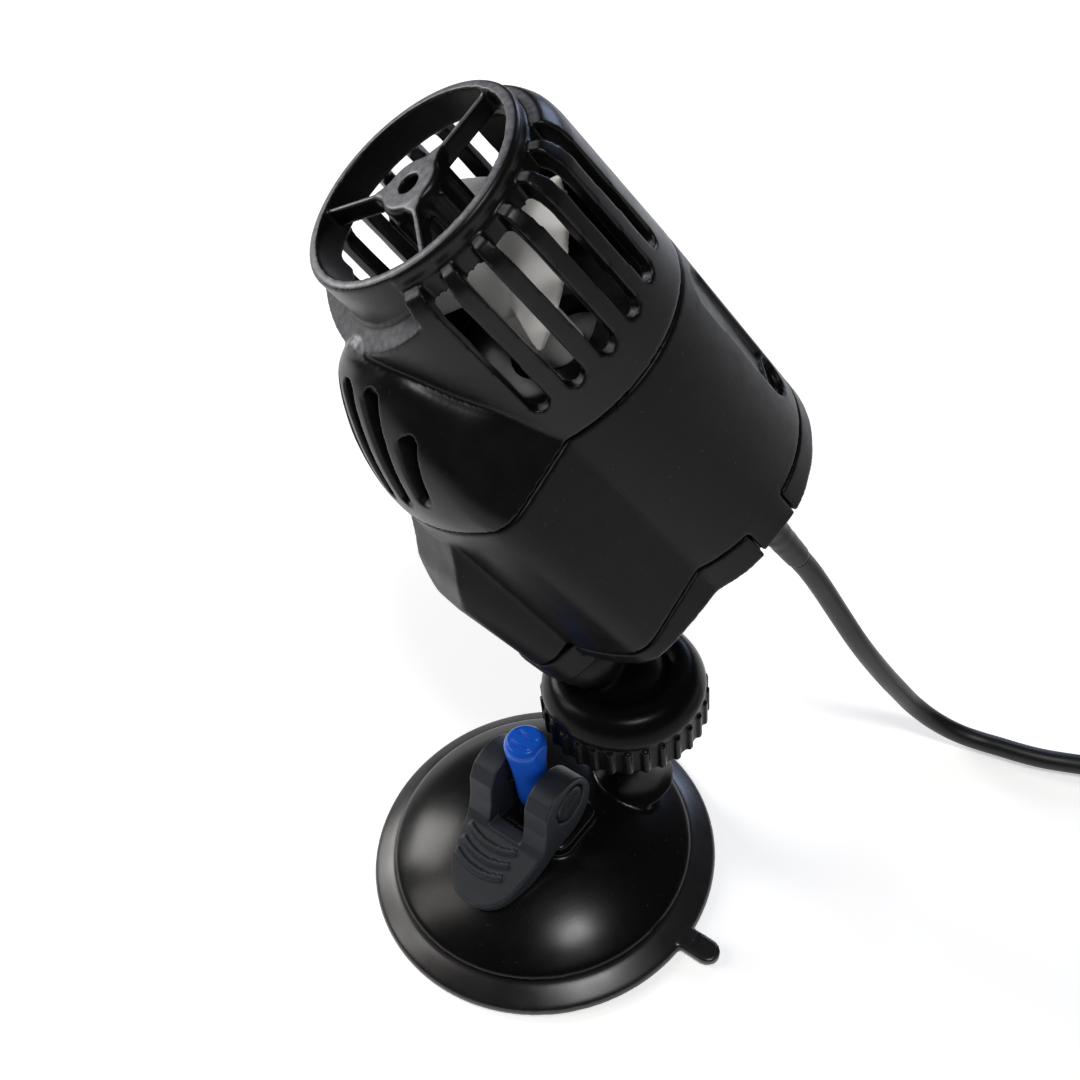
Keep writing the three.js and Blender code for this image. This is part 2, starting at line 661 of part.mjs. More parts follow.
// The lever: X runs along its arm and Y along its pivot, which is at the origin.
function lever() {
  const side = [].concat(
    arc(CAM_OFFSET, -CAM_OFFSET, CAM_RADIUS, 58, 270, 18),
    [[6.6, -9.5], [12, -12], [18, -13.6], [22.8, -14.9], [23.8, -14.4], [23.6, -13.4], [21.6, -12.6],
      [11, -7.1], [9.6, -5.6], [8.4, -2], [7.6, 2.6]],
  );
  const plan = [].concat(
    [[-12, -EAR_OUTER], [9, -EAR_OUTER], [14, -9.3]],
    arc(15.4, 0, 8.6, -76, 76, 8),
    [[14, 9.3], [9, EAR_OUTER], [-12, EAR_OUTER]],
  );
  const arm = solid(slabXZ(side, -15, 15)).intersect(solid(prism(plan, -25, 20)));
  const fork = [
    solid(prism(roundedRect(-20, 7.6, -EAR_INNER, EAR_INNER, 1.5), -25, 20)),
    solid(block(0, 14, -EAR_INNER, EAR_INNER, -6.6, 20)),
    solid(rod(PIN_RADIUS + GAP, -15, 15, 16).rotateX(Math.PI / 2)),
  ];
  const dishes = [1, -1].map((way) => {
    const dish = rod(4.4, -1.2, 1, 24).rotateX(way * -Math.PI / 2);
    return solid(dish.translate(0, way * EAR_OUTER, 0));
  });
  const ridges = [13.4, 16, 18.5].map((x) => {
    const bar = stadium(x, -7.4, x, 4.2, 0.6, 3);
    const top = -7.1 - (x - 11) * 0.52 + 0.5;
    return solid(prism(bar, top - 2, top));
  });
  return cut(join([arm, ...ridges]), [...fork, ...dishes]);
}

// ---------------------------------------------------------------- cable

// The cable from the gland down to the surface and along it to the coil.
const CORD_ROUTE = [
  [56.4, 11.9, 69.6], [58.4, 12.3, 66.1], [60.7, 12.6, 61.6], [65.8, 13.1, 50.7], [70.7, 13.5, 40.4],
  [76.1, 14.1, 30.3], [81.9, 14.9, 20.4], [87.2, 15.3, 12.4], [92.4, 15.1, 6.2], [97.2, 13.8, 2.9],
  [101.2, 11.5, 2.4], [104.9, 8.9, 2.4], [108.6, 6.6, 2.4], [112.4, 4.7, 2.4], [116.2, 3.1, 2.4],
  [120.2, 1.6, 2.4], [126.6, -0.9, 2.4], [133.3, -3.5, 2.6], [140.1, -6.1, 2.9],
];

// The short end of the cable, from the coil to the plug.
const TAIL_ROUTE = [
  [136.5, 0.4, 7.6], [136.5, -9, 7.6], [136.5, -18.5, 7.5], [137.9, -25.4, 7.4],
  [141.8, -31.2, 7.3], [147.6, -35.1, 7.3], [154.7, -36.5, 7.3],
];

function cordTube(route, steps) {
  const path = new THREE.CatmullRomCurve3(route.map((point) => new THREE.Vector3(...point)));
  const section = outline(arc(0, 0, CORD_DIAMETER / 2, 0, 324, 9));
  return new THREE.ExtrudeGeometry(section, { steps, extrudePath: path, bevelEnabled: false });
}

// A band round the coil's section.
function cordTie() {
  const low = COIL_BOTTOM - GAP;
  const high = COIL_TOP + GAP;
  const near = COIL_INNER - 0.6;
  const far = COIL_OUTER + 0.6;
  const band = solid(slabXZ(roundedRect(near - 0.5, far + 0.5, low - 0.5, high + 0.5, 0.8), -3, 3));
  return band.subtract(solid(slabXZ(roundedRect(near, far, low, high, 0.5), -4, 4)));
}

function plugBody() {
  const half = [[0, 5.5], [8, 7], [16, 16.6], [18, 17.5], [PLUG_LENGTH, 17.5]];
  const mirrored = half.map(([x, y]) => [x, -y]).reverse();
  return prism(half.concat(mirrored), PLUG_MIDDLE - 7, PLUG_MIDDLE + 7).translate(PLUG_REAR, PLUG_Y, 0);
}

function plugPin(side) {
  const pin = turned([[0, 0], [2, 0], [2, 18], [1.2, 19], [0, 19]], 12).rotateY(Math.PI / 2);
  return pin.translate(PLUG_REAR + PLUG_LENGTH + GAP, PLUG_Y + side * 9.3, PLUG_MIDDLE);
}

// ---------------------------------------------------------------- scene graph

const pump = new THREE.Group();
pump.position.set(-STEM_OFFSET, 0, BALL_DEPTH);

const roll = new THREE.Group();
roll.rotation.z = ROLL * DEG;
roll.add(pump);

const lean = new THREE.Group();
lean.rotation.y = LEAN * DEG;
lean.add(roll);

const swivel = new THREE.Group();
swivel.rotation.z = LEAN_COMPASS * DEG;
swivel.add(lean);

const joint = new THREE.Group();
joint.position.set(POST_X, POST_Y, BALL_HEIGHT);
joint.add(swivel);

const hinge = new THREE.Group();
hinge.position.z = PIVOT_HEIGHT;
hinge.rotation.z = LEVER_ANGLE * DEG;

const coilPlace = new THREE.Group();
coilPlace.position.set(COIL_X, COIL_Y, 0);

const model = new THREE.Group();
model.add(joint, hinge, coilPlace);

const BLACK = [0x1c1b1c, 0.5, 0];
const RUBBER = [0x2a2829, 0.7, 0];
const DARK = [0x202226, 0.55, 0];
const BLUE = [0x0f3fb0, 0.25, 0];
const WHITE = [0xe9e8e4, 0.25, 0];
const STEEL = [0xb9bcc0, 0.3, 1];
const FERRITE = [0x35343a, 0.6, 0.2];
const IRON = [0x6d6f73, 0.5, 0.8];
const COPPER = [0xa8552c, 0.4, 0.8];
const RESIN = [0x262421, 0.4, 0];
const BRASS = [0xc9b06a, 0.3, 1];

function place(name, body, look, parent = model) {
  const [color, roughness, metalness] = look;
  const geometry = body instanceof THREE.BufferGeometry ? body : geometryOf(body);
  const mesh = new THREE.Mesh(geometry, new THREE.MeshStandardMaterial({ color, roughness, metalness }));
  mesh.name = name;
  parent.add(mesh);
  return mesh;
}

place("rubber_cup", rubberCup(), RUBBER);
place("dome", dome(), BLACK);
place("pull_rod", pullRod(), BLUE);
place("pivot_pin", pivotPin(), STEEL, hinge);
place("lever", lever(), DARK, hinge);
place("collar_nut", collarNut(), BLACK, joint);
place("ball_seat", ballSeat(), DARK, joint);
place("ball_stem", ballStem(), BLACK, lean);

place("front_cage", frontCage(), BLACK, pump);
place("front_bush", solid(ring(BUSH_RADIUS, SHAFT_RADIUS + RUNNING_FIT, -9.6, -4.3, 20)), RUBBER, pump);
place("shaft", rod(SHAFT_RADIUS, -70.1, -4.4, 20), STEEL, pump);
place("impeller", impeller(), WHITE, pump);
place("rotor_magnet", rotorMagnet(), FERRITE, pump);
place("rotor_can", rotorCan(), WHITE, pump);
place("rear_bush", solid(ring(CAN_BORE - GAP, SHAFT_RADIUS + RUNNING_FIT, -70, -68.4, 20)), RUBBER, pump);
place("stator_core", statorCore(), IRON, pump);
place("winding_left", winding(1), COPPER, pump);
place("winding_right", winding(-1), COPPER, pump);
place("potting", bodyPrism(WALL + 0.5, CAN_END + GAP, CAN_END + 4.3), RESIN, pump);
place("mid_housing", midHousing(), BLACK, pump);
place("rear_cap", rearCap(), BLACK, pump);
place("cable_gland", cableGland(), RUBBER, pump);

place("cord_run", cordTube(CORD_ROUTE, 16), RUBBER);
place("cord_coil", ring(COIL_OUTER, COIL_INNER, COIL_BOTTOM, COIL_TOP, 32), RUBBER, coilPlace);
place("cord_tie", cordTie(), DARK, coilPlace).rotation.z = 140 * DEG;
place("cord_tail", cordTube(TAIL_ROUTE, 10), RUBBER);
place("plug_body", plugBody(), RUBBER);
place("plug_pin_1", plugPin(-1), BRASS);
place("plug_pin_2", plugPin(1), BRASS);

export default model;
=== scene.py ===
"""Looks for a small aquarium wave maker pump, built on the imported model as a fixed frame.

Shapes are drawn in millimetres in a piece's own frame and placed once, in metres. The pump's pieces
share the pump frame: its origin is the centre of the nozzle's face, +Z points out of the nozzle,
+X towards the keel and +Y towards the cable. "Depth" is measured back from the nozzle's face.
"""
import json
import math

import bmesh
import bpy
from mathutils import Matrix, Vector


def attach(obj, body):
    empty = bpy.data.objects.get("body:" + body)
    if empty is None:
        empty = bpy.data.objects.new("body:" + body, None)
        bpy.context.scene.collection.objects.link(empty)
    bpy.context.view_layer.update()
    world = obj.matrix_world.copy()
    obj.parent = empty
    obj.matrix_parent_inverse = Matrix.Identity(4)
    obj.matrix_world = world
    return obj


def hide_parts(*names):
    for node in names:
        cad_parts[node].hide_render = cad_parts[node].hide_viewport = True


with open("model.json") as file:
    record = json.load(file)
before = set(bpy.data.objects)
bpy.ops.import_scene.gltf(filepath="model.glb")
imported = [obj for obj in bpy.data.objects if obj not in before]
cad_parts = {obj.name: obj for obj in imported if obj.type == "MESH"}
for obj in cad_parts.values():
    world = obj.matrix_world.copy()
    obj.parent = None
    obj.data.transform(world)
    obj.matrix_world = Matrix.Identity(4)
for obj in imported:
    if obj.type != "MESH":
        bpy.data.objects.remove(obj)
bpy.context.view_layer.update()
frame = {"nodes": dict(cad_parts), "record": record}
MM = 0.001

# ------------------------------------------------------------------ places, from the frame

JOINTS = {joint["name"]: joint for joint in frame["record"]["behaviour"]["joints"]}
NOZZLE = Vector(JOINTS["rotor_spin"]["pos_m"])
PUMP_AXIS = Vector(JOINTS["rotor_spin"]["axis"]).normalized()
BALL = Vector(JOINTS["ball_tilt"]["pos_m"])
LEVER_PIVOT = Vector(JOINTS["lever_flip"]["pos_m"])
LEVER_AXIS = Vector(JOINTS["lever_flip"]["axis"]).normalized()

TO_BALL = BALL - NOZZLE
KEEL = (TO_BALL - TO_BALL.dot(PUMP_AXIS) * PUMP_AXIS).normalized()
SIDE = PUMP_AXIS.cross(KEEL)
STEM_OFFSET = TO_BALL.dot(KEEL) / MM
BALL_DEPTH = -TO_BALL.dot(PUMP_AXIS) / MM
UP = Vector((0, 0, 1))


def frame_of(x, y, z, origin):
    """The matrix that takes millimetres along the three directions to metres in the row frame."""
    rows = Matrix((x, y, z)).transposed().to_4x4()
    return Matrix.Translation(origin) @ rows @ Matrix.Scale(MM, 4)


PUMP = frame_of(KEEL, SIDE, PUMP_AXIS, NOZZLE)
WORLD = Matrix.Scale(MM, 4)
BALL_LEVEL = frame_of(Vector((1, 0, 0)), Vector((0, 1, 0)), UP, BALL)
STEM = frame_of(KEEL, SIDE, PUMP_AXIS, BALL)
ARM = UP.cross(LEVER_AXIS)
LEVER = frame_of(ARM, UP.cross(ARM), UP, LEVER_PIVOT)

# ------------------------------------------------------------------ camera

CAMERA_PLACE = (0.0085, -0.1467, 0.236)
CAMERA_RIGHT = (0.9906, -0.0946, -0.0984)
CAMERA_DOWN = (-0.1365, -0.6868, -0.7140)
CAMERA_AHEAD = (0.0, 0.7207, -0.6932)
SENSOR_WIDTH = 36
FOCAL_LENGTH = 40.53


def make_camera():
    data = bpy.data.cameras.new("camera")
    data.sensor_width = SENSOR_WIDTH
    data.lens = FOCAL_LENGTH
    data.clip_start = 0.01
    camera = bpy.data.objects.new("camera", data)
    up = [-value for value in CAMERA_DOWN]
    back = [-value for value in CAMERA_AHEAD]
    axes = Matrix((CAMERA_RIGHT, up, back)).transposed()
    turn = axes.to_quaternion().normalized().to_matrix().to_4x4()
    camera.matrix_world = Matrix.Translation(CAMERA_PLACE) @ turn
    bpy.context.scene.collection.objects.link(camera)
    bpy.context.scene.camera = camera


make_camera()

# ------------------------------------------------------------------ materials


class Shader:
    """A principled material and short ways to add texture nodes to it."""

    def __init__(self, name, colour, roughness, metallic=0.0, specular=0.5):
        self.material = bpy.data.materials.new(name)
        self.material.use_nodes = True
        self.nodes = self.material.node_tree.nodes
        self.links = self.material.node_tree.links
        self.shader = self.nodes["Principled BSDF"]
        self.set("Base Color", (*colour, 1))
        self.set("Roughness", roughness)
        self.set("Metallic", metallic)
        self.set("Specular IOR Level", specular)
        texture_place = self.nodes.new("ShaderNodeTexCoord")
        self.place = texture_place.outputs["Object"]
        self.normal = texture_place.outputs["Normal"]

    def set(self, socket, value):
        self.shader.inputs[socket].default_value = value

    def noise(self, scale, detail=3, stretch=(1, 1, 1)):
        mapping = self.nodes.new("ShaderNodeMapping")
        mapping.inputs["Scale"].default_value = stretch
        self.links.new(self.place, mapping.inputs["Vector"])
        noise = self.nodes.new("ShaderNodeTexNoise")
        noise.inputs["Scale"].default_value = scale
        noise.inputs["Detail"].default_value = detail
        self.links.new(mapping.outputs["Vector"], noise.inputs["Vector"])
        return noise.outputs["Fac"]

    def remap(self, value, low, high, start=0.22, end=0.78):
        node = self.nodes.new("ShaderNodeMapRange")
        node.inputs["From Min"].default_value = start
        node.inputs["From Max"].default_value = end
        node.inputs["To Min"].default_value = low
        node.inputs["To Max"].default_value = high
        self.links.new(value, node.inputs["Value"])
        return node.outputs["Result"]

    def mix_colour(self, factor, other):
        """The colour turns to another one as the factor goes to one."""
        mix = self.nodes.new("ShaderNodeMix")
        mix.data_type = "RGBA"
        before = self.shader.inputs["Base Color"]
        start = next(socket for socket in mix.inputs if socket.identifier == "A_Color")
        if before.is_linked:
            self.links.new(before.links[0].from_socket, start)
        else:
            start.default_value = before.default_value
        end = next(socket for socket in mix.inputs if socket.identifier == "B_Color")
        end.default_value = (*other, 1)
        self.links.new(factor, mix.inputs["Factor"])
        result = next(socket for socket in mix.outputs if socket.identifier == "Result_Color")
        self.links.new(result, before)

    def vary_colour(self, value, other, amount=1.0):
        """The colour drifts to another one where the value is high."""
        self.mix_colour(self.remap(value, 0, amount), other)

    def multiply(self, first, second):
        node = self.nodes.new("ShaderNodeMath")
        node.operation = "MULTIPLY"
        self.links.new(first, node.inputs[0])
        self.links.new(second, node.inputs[1])
        return node.outputs["Value"]

    def facing(self, direction):
        """One where a face looks along a direction of the object, falling off to its sides."""
        node = self.nodes.new("ShaderNodeVectorMath")
        node.operation = "DOT_PRODUCT"
        self.links.new(self.normal, node.inputs[0])
        node.inputs[1].default_value = direction
        return node.outputs["Value"]

    def vary_roughness(self, value, low, high):
        self.links.new(self.remap(value, low, high), self.shader.inputs["Roughness"])

    def bump(self, value, distance, strength=1.0):
        node = self.nodes.new("ShaderNodeBump")
        node.inputs["Strength"].default_value = strength
        node.inputs["Distance"].default_value = distance
        self.links.new(value, node.inputs["Height"])
        before = self.shader.inputs["Normal"]
        if before.is_linked:
            self.links.new(before.links[0].from_socket, node.inputs["Normal"])
        self.links.new(node.outputs["Normal"], before)


def moulded(name, colour, roughness, grain=0.00002, mottle=0.06, specular=0.25, wear_and_sheen=None):
    """Injection moulded plastic: a fine spark-eroded grain, faint clouding and specks of dust.

    A lighter colour shows, in patches, on the faces that look out of the nozzle, the slot ends among
    them: partly real wear, partly a painted highlight where those faces catch the light.
    """
    shader = Shader(name, colour, roughness, specular=specular)
    clouds = shader.noise(60, 3)
    lighter = tuple(min(1, channel * 1.3 + 0.001) for channel in colour)
    shader.vary_colour(clouds, lighter, 0.6)
    handling = shader.noise(300, 5)
    shader.vary_roughness(handling, max(0.05, roughness - mottle), roughness + mottle)
    eroded = shader.noise(2600, 2)
    shader.bump(eroded, grain, 0.5)
    specks = shader.remap(shader.noise(1500, 2), 0, 0.5, start=0.7, end=0.78)
    shader.mix_colour(specks, tuple(min(1, channel + 0.05) for channel in colour))
    if wear_and_sheen:
        # lighter patches on faces looking out of the nozzle: partly wear, partly painted highlight
        front = shader.remap(shader.facing(PUMP_AXIS), 0, 1, start=0.82, end=0.96)
        patches = shader.remap(shader.noise(900, 4), 0.3, 1)
        shader.mix_colour(shader.multiply(front, patches), wear_and_sheen)
    return shader.material


def rubber(name, colour, roughness, specular=0.4):
    """Soft vinyl or rubber with a slightly wavy skin and a dusty bloom."""
    shader = Shader(name, colour, roughness, specular=specular)
    waves = shader.noise(70, 3)
    dust = tuple(channel * 1.5 + 0.003 for channel in colour)
    shader.vary_colour(shader.noise(520, 6), dust, 0.4)
    shader.vary_roughness(waves, roughness - 0.07, roughness + 0.12)
    shader.bump(waves, 0.0002, 0.25)
    shader.bump(shader.noise(3200, 2), 0.00002, 0.4)
    return shader.material


def metal(name, colour, roughness, stretch=(1, 1, 12)):
    """Turned or drawn metal with fine marks in one direction."""
    shader = Shader(name, colour, roughness, metallic=1.0)
    marks = shader.noise(420, 4, stretch)
    darker = tuple(channel * 0.75 for channel in colour)
    shader.vary_colour(marks, darker, 0.6)
    shader.vary_roughness(marks, roughness * 0.7, roughness * 1.4)
    shader.bump(marks, 0.00002, 0.4)
    return shader.material


POLISHED = 0.000006
SATIN = 0.000012

BODY_BLACK = moulded("body_black", (0.0034, 0.0031, 0.0032), 0.36, specular=0.14)
# the cage's pale patches on its front faces and slot ends: partly wear, partly painted highlight
CAGE_BLACK = moulded("cage_black", (0.0042, 0.0038, 0.004), 0.34, specular=0.24, wear_and_sheen=(0.22, 0.225, 0.25))
BASE_BLACK = moulded("base_black", (0.0028, 0.0027, 0.0028), 0.25, grain=SATIN, mottle=0.02)
NUT_BLACK = moulded("nut_black", (0.003, 0.0029, 0.003), 0.27, mottle=0.03, specular=0.1)
LEVER_BLACK = moulded("lever_black", (0.018, 0.02, 0.026), 0.42)
PIN_BLACK = moulded("pin_black", (0.014, 0.015, 0.017), 0.35)
BLUE = moulded("rod_blue", (0.007, 0.08, 0.48), 0.2, grain=POLISHED, mottle=0.03)
WHITE = moulded("impeller_white", (0.78, 0.77, 0.75), 0.22, grain=POLISHED)
CAN_BLACK = moulded("can_black", (0.006, 0.0065, 0.008), 0.16, grain=POLISHED, mottle=0.03)
CUP_RUBBER = rubber("cup_rubber", (0.011, 0.0098, 0.0102), 0.28, specular=0.6)
SHEATH = rubber("cable_sheath", (0.0065, 0.0063, 0.0065), 0.4)
BEARING = rubber("bearing_rubber", (0.02, 0.02, 0.02), 0.6)
STEEL = metal("shaft_steel", (0.62, 0.62, 0.62), 0.22)
CORE = metal("core_steel", (0.32, 0.32, 0.33), 0.4, stretch=(1, 1, 30))
COPPER = metal("copper_wire", (0.72, 0.3, 0.14), 0.3, stretch=(30, 1, 1))
BRASS = metal("pin_brass", (0.78, 0.63, 0.34), 0.2)
FERRITE = moulded("ferrite", (0.05, 0.05, 0.055), 0.55)
RESIN = moulded("resin", (0.02, 0.018, 0.016), 0.15)

# ------------------------------------------------------------------ solids, in millimetres


def solid(verts, faces):
    """A closed mesh with its faces turned outwards."""
    mesh = bpy.data.meshes.new("solid")
    mesh.from_pydata([tuple(vert) for vert in verts], [], faces)
    work = bmesh.new()
    work.from_mesh(mesh)
    bmesh.ops.remove_doubles(work, verts=work.verts, dist=1e-5)
    bmesh.ops.recalc_face_normals(work, faces=work.faces)
    work.to_mesh(mesh)
    work.free()
    return mesh


def moved(mesh, x=0.0, y=0.0, z=0.0):
    mesh.transform(Matrix.Translation((x, y, z)))
    return mesh


def turned_by(mesh, degrees, axis="Z"):
    mesh.transform(Matrix.Rotation(math.radians(degrees), 4, axis))
    return mesh


def lathe(points, segments=128):
    """A solid turned about Z from [radius, height] points that start and end on the axis or close."""
    closed = points[0] == points[-1]
    profile = points[:-1] if closed else points
    verts = []
    rings = []
    for radius, height in profile:
        if radius <= 0:
            rings.append([len(verts)] * segments)
            verts.append((0, 0, height))
            continue
        rings.append(list(range(len(verts), len(verts) + segments)))
        for i in range(segments):
            angle = 2 * math.pi * i / segments
            verts.append((radius * math.cos(angle), radius * math.sin(angle), height))
    faces = []
    pairs = list(zip(rings, rings[1:] + rings[:1]))
    for low, high in pairs if closed else pairs[:-1]:
        for i in range(segments):
            j = (i + 1) % segments
            corners = []
            for corner in (low[i], low[j], high[j], high[i]):
                if corner not in corners:
                    corners.append(corner)
            if len(corners) > 2:
                faces.append(corners)
    return solid(verts, faces)


def deep(points, segments=128):
    """The same for [radius, depth] points of the pump."""
    return lathe([[radius, -depth] for radius, depth in points], segments)


def rod(radius, low, high, segments=64):
    return lathe([[0, low], [radius, low], [radius, high], [0, high]], segments)


def slab(points, low, high, plane="XY"):
    """An outline in one plane, thickened between two places along the third direction."""
    place = {
        "XY": lambda u, v, w: (u, v, w),
        "XZ": lambda u, v, w: (u, w, v),
        "YZ": lambda u, v, w: (w, u, v),
    }[plane]
    count = len(points)
    verts = [place(u, v, low) for u, v in points] + [place(u, v, high) for u, v in points]
    faces = [list(range(count)), list(range(count, 2 * count))]
    for i in range(count):
        j = (i + 1) % count
        faces.append([i, j, count + j, count + i])
    return solid(verts, faces)


def block(x0, x1, y0, y1, z0, z1):
    return slab([(x0, y0), (x1, y0), (x1, y1), (x0, y1)], z0, z1)


def arc(cx, cy, radius, start, end, steps):
    points = []
    for i in range(steps + 1):
        angle = math.radians(start + (end - start) * i / steps)
        points.append((cx + radius * math.cos(angle), cy + radius * math.sin(angle)))
    return points


def stadium(x0, y0, x1, y1, radius, steps=10):
    heading = math.degrees(math.atan2(y1 - y0, x1 - x0))
    near = arc(x0, y0, radius, heading + 90, heading + 270, steps)
    return near + arc(x1, y1, radius, heading - 90, heading + 90, steps)


def rounded(x0, x1, y0, y1, radius, steps=6):
    corners = ((x1, y1, 0), (x0, y1, 90), (x0, y0, 180), (x1, y0, 270))
    points = []
    for x, y, start in corners:
        cx = x - radius if x == x1 else x + radius
        cy = y - radius if y == y1 else y + radius
        points += arc(cx, cy, radius, start, start + 90, steps)
    return points


def mirrored(points):
    """The other half of an outline that is the same on both sides of its X axis."""
    return [(x, -y) for x, y in reversed(points)]


def smooth_line(points, steps=8):
    """A smooth line through points, as a Catmull-Rom spline."""
    padded = [points[0]] + list(points) + [points[-1]]
    line = []
    for a, b, c, d in zip(padded, padded[1:], padded[2:], padded[3:]):
        for i in range(steps):
            t = i / steps
            line.append(tuple(
                0.5 * (2 * q + (r - p) * t + (2 * p - 5 * q + 4 * r - s) * t * t
                       + (3 * q - p - 3 * r + s) * t ** 3)
                for p, q, r, s in zip(a, b, c, d)))
    line.append(tuple(points[-1]))
    return line


def temporary(mesh):
    work = bpy.data.objects.new("work", mesh)
    bpy.context.scene.collection.objects.link(work)
    return work


def settled(work):
    """The mesh that an object's modifiers make; the object goes."""
    depsgraph = bpy.context.evaluated_depsgraph_get()
    mesh = bpy.data.meshes.new_from_object(work.evaluated_get(depsgraph))
    bpy.data.objects.remove(work)
    return mesh


def combine(first, second, operation):
    target = temporary(first)
    tool = temporary(second)
    modifier = target.modifiers.new("combine", "BOOLEAN")
    modifier.operation = operation
    modifier.solver = "MANIFOLD"
    modifier.object = tool
    mesh = settled(target)
    bpy.data.objects.remove(tool)
    return mesh


def union(*meshes):
    whole = meshes[0]
    for mesh in meshes[1:]:
        whole = combine(whole, mesh, "UNION")
    return whole


def cut(mesh, *tools):
    for tool in tools:
        mesh = combine(mesh, tool, "DIFFERENCE")
    return mesh


def common(*meshes):
    whole = meshes[0]
    for mesh in meshes[1:]:
        whole = combine(whole, mesh, "INTERSECT")
    return whole


def gathered(meshes):
    """Separate solids in one mesh, to cut with at once."""
    work = bmesh.new()
    for mesh in meshes:
        work.from_mesh(mesh)
    whole = bpy.data.meshes.new("gathered")
    work.to_mesh(whole)
    work.free()
    return whole


def softened(mesh, voxel, rounds):
    """The solid with its edges eased, as a mould leaves them."""
    work = temporary(mesh)
    remesh = work.modifiers.new("remesh", "REMESH")
    remesh.mode = "VOXEL"
    remesh.voxel_size = voxel
    ease = work.modifiers.new("ease", "SMOOTH")
    ease.factor = 0.5
    ease.iterations = rounds
    return settled(work)


def piece(name, mesh, where, body, material, slot, *nodes):
    """A finished piece: placed, shaded smooth, riding on its body and standing for its CAD nodes."""
    mesh.transform(where)
    mesh.materials.clear()
    mesh.materials.append(material)
    mesh.shade_smooth()
    made = bpy.data.objects.new(name, mesh)
    bpy.context.scene.collection.objects.link(made)
    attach(made, body)
    if nodes:
        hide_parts(*nodes)
    return made


# ------------------------------------------------------------------ cable

SEAM = 0.3
CORD_DIAMETER = 4.4
CORD_ROUTE = [
    (56.4, 11.9, 69.6), (58.4, 12.3, 66.1), (60.7, 12.6, 61.6), (65.8, 13.1, 50.7), (70.7, 13.5, 40.4),
    (76.2, 14.4, 29.9), (82.3, 16.0, 19.0), (87.7, 16.7, 10.5), (92.5, 15.4, 5.8), (97.1, 13.4, 3.3),
    (101.1, 11.4, 2.4), (105.0, 9.0, 2.4), (108.7, 6.7, 2.4), (112.4, 4.7, 2.4), (116.2, 3.1, 2.4),
    (120.2, 1.6, 2.4), (126.6, -0.9, 2.4), (133.3, -3.5, 2.6), (140.1, -6.1, 2.9),
]
COIL_X = 170.3
COIL_Y = 18.2
COIL_ENTRY = -111.7
COIL_WIDEST = 33.8
COIL_TIGHTEST = 17.6
LAYER_TURN = 1332
CLIMB_TURN = 147.7
LOWER_LAYER = 3.1
UPPER_LAYER = 7.6
COIL_STEP = 15
TAIL_ROUTE = [
    (136.5, 9, 7.6), (136.5, 0.4, 7.6), (136.5, -9, 7.6), (136.5, -18.5, 7.5), (137.9, -25.4, 7.4),
    (141.8, -31.2, 7.3), (147.6, -35.1, 7.3), (154.7, -36.5, 7.3),
]


def eased(value):
    """Zero to one, starting and ending gently."""
    value = min(1, max(0, value))
    return value * value * (3 - 2 * value)


def coil_points():
    """A flat spiral inwards, a climb of about one cable diameter and a spiral back out on top."""
    points = []
    total = 2 * LAYER_TURN + CLIMB_TURN
    for i in range(int(total / COIL_STEP) + 1):
        turn = min(total, i * COIL_STEP)
        climb = eased((turn - LAYER_TURN) / CLIMB_TURN)
        inward = min(1, turn / LAYER_TURN)
        outward = max(0, (turn - LAYER_TURN - CLIMB_TURN) / LAYER_TURN)
        radius = COIL_WIDEST + (COIL_TIGHTEST - COIL_WIDEST) * (inward - outward)
        angle = math.radians(COIL_ENTRY + turn)
        height = LOWER_LAYER + (UPPER_LAYER - LOWER_LAYER) * climb
        points.append((COIL_X + radius * math.cos(angle), COIL_Y + radius * math.sin(angle), height))
    return points


def make_cord():
    """The cable as one smooth curve: down from the pump, round the coil and on to the plug."""
    points = [Vector(point) * MM for point in CORD_ROUTE + coil_points() + TAIL_ROUTE]
    curve = bpy.data.curves.new("cable", "CURVE")
    curve.dimensions = "3D"
    curve.bevel_depth = CORD_DIAMETER / 2 * MM
    curve.bevel_resolution = 5
    curve.resolution_u = 6
    curve.use_fill_caps = True
    spline = curve.splines.new("BEZIER")
    spline.bezier_points.add(len(points) - 1)
    for knot, point in zip(spline.bezier_points, points):
        knot.co = point
        knot.handle_left_type = "AUTO"
        knot.handle_right_type = "AUTO"
    curve.materials.append(SHEATH)
    cable = bpy.data.objects.new("cable", curve)
    bpy.context.scene.collection.objects.link(cable)
    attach(cable, "pump")
    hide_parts("cord_run", "cord_coil", "cord_tail")
    return cable, points


CABLE, CABLE_POINTS = make_cord()
TIE_ANGLE = 140
TIE_REACH = (14.3, 37.1)
TIE_HEIGHT = (0.1, 10.7)
TIE_WIDTH = 6
TIE_THICKNESS = 0.5
PLUG_REAR = 155.3
PLUG_Y = -36.5
PLUG_LENGTH = 34
PLUG_HALF_WIDTH = 17.5
PLUG_BOTTOM = 0.3
PLUG_TOP = 14.3
GRIP_RIBS = 4
GRIP_PITCH = 3
CONTACT_LENGTH = 19
CONTACT_SPREAD = 9.3


def make_tie():
    """A flat band round all the turns at one side of the coil."""
    half = TIE_WIDTH / 2
    near, far = TIE_REACH
    bottom, top = TIE_HEIGHT
    thick = TIE_THICKNESS
    outer = slab(rounded(near, far, bottom, top, 1.2), -half, half, "XZ")
    inner_plan = rounded(near + thick, far - thick, bottom + thick, top - thick, 0.9)
    inner = slab(inner_plan, -half - 1, half + 1, "XZ")
    band = softened(cut(outer, inner), 0.18, 2)
    turned_by(band, TIE_ANGLE)
    moved(band, COIL_X, COIL_Y)
    return piece("cable_tie", band, WORLD, "pump", BASE_BLACK, "base_plastic", "cord_tie")


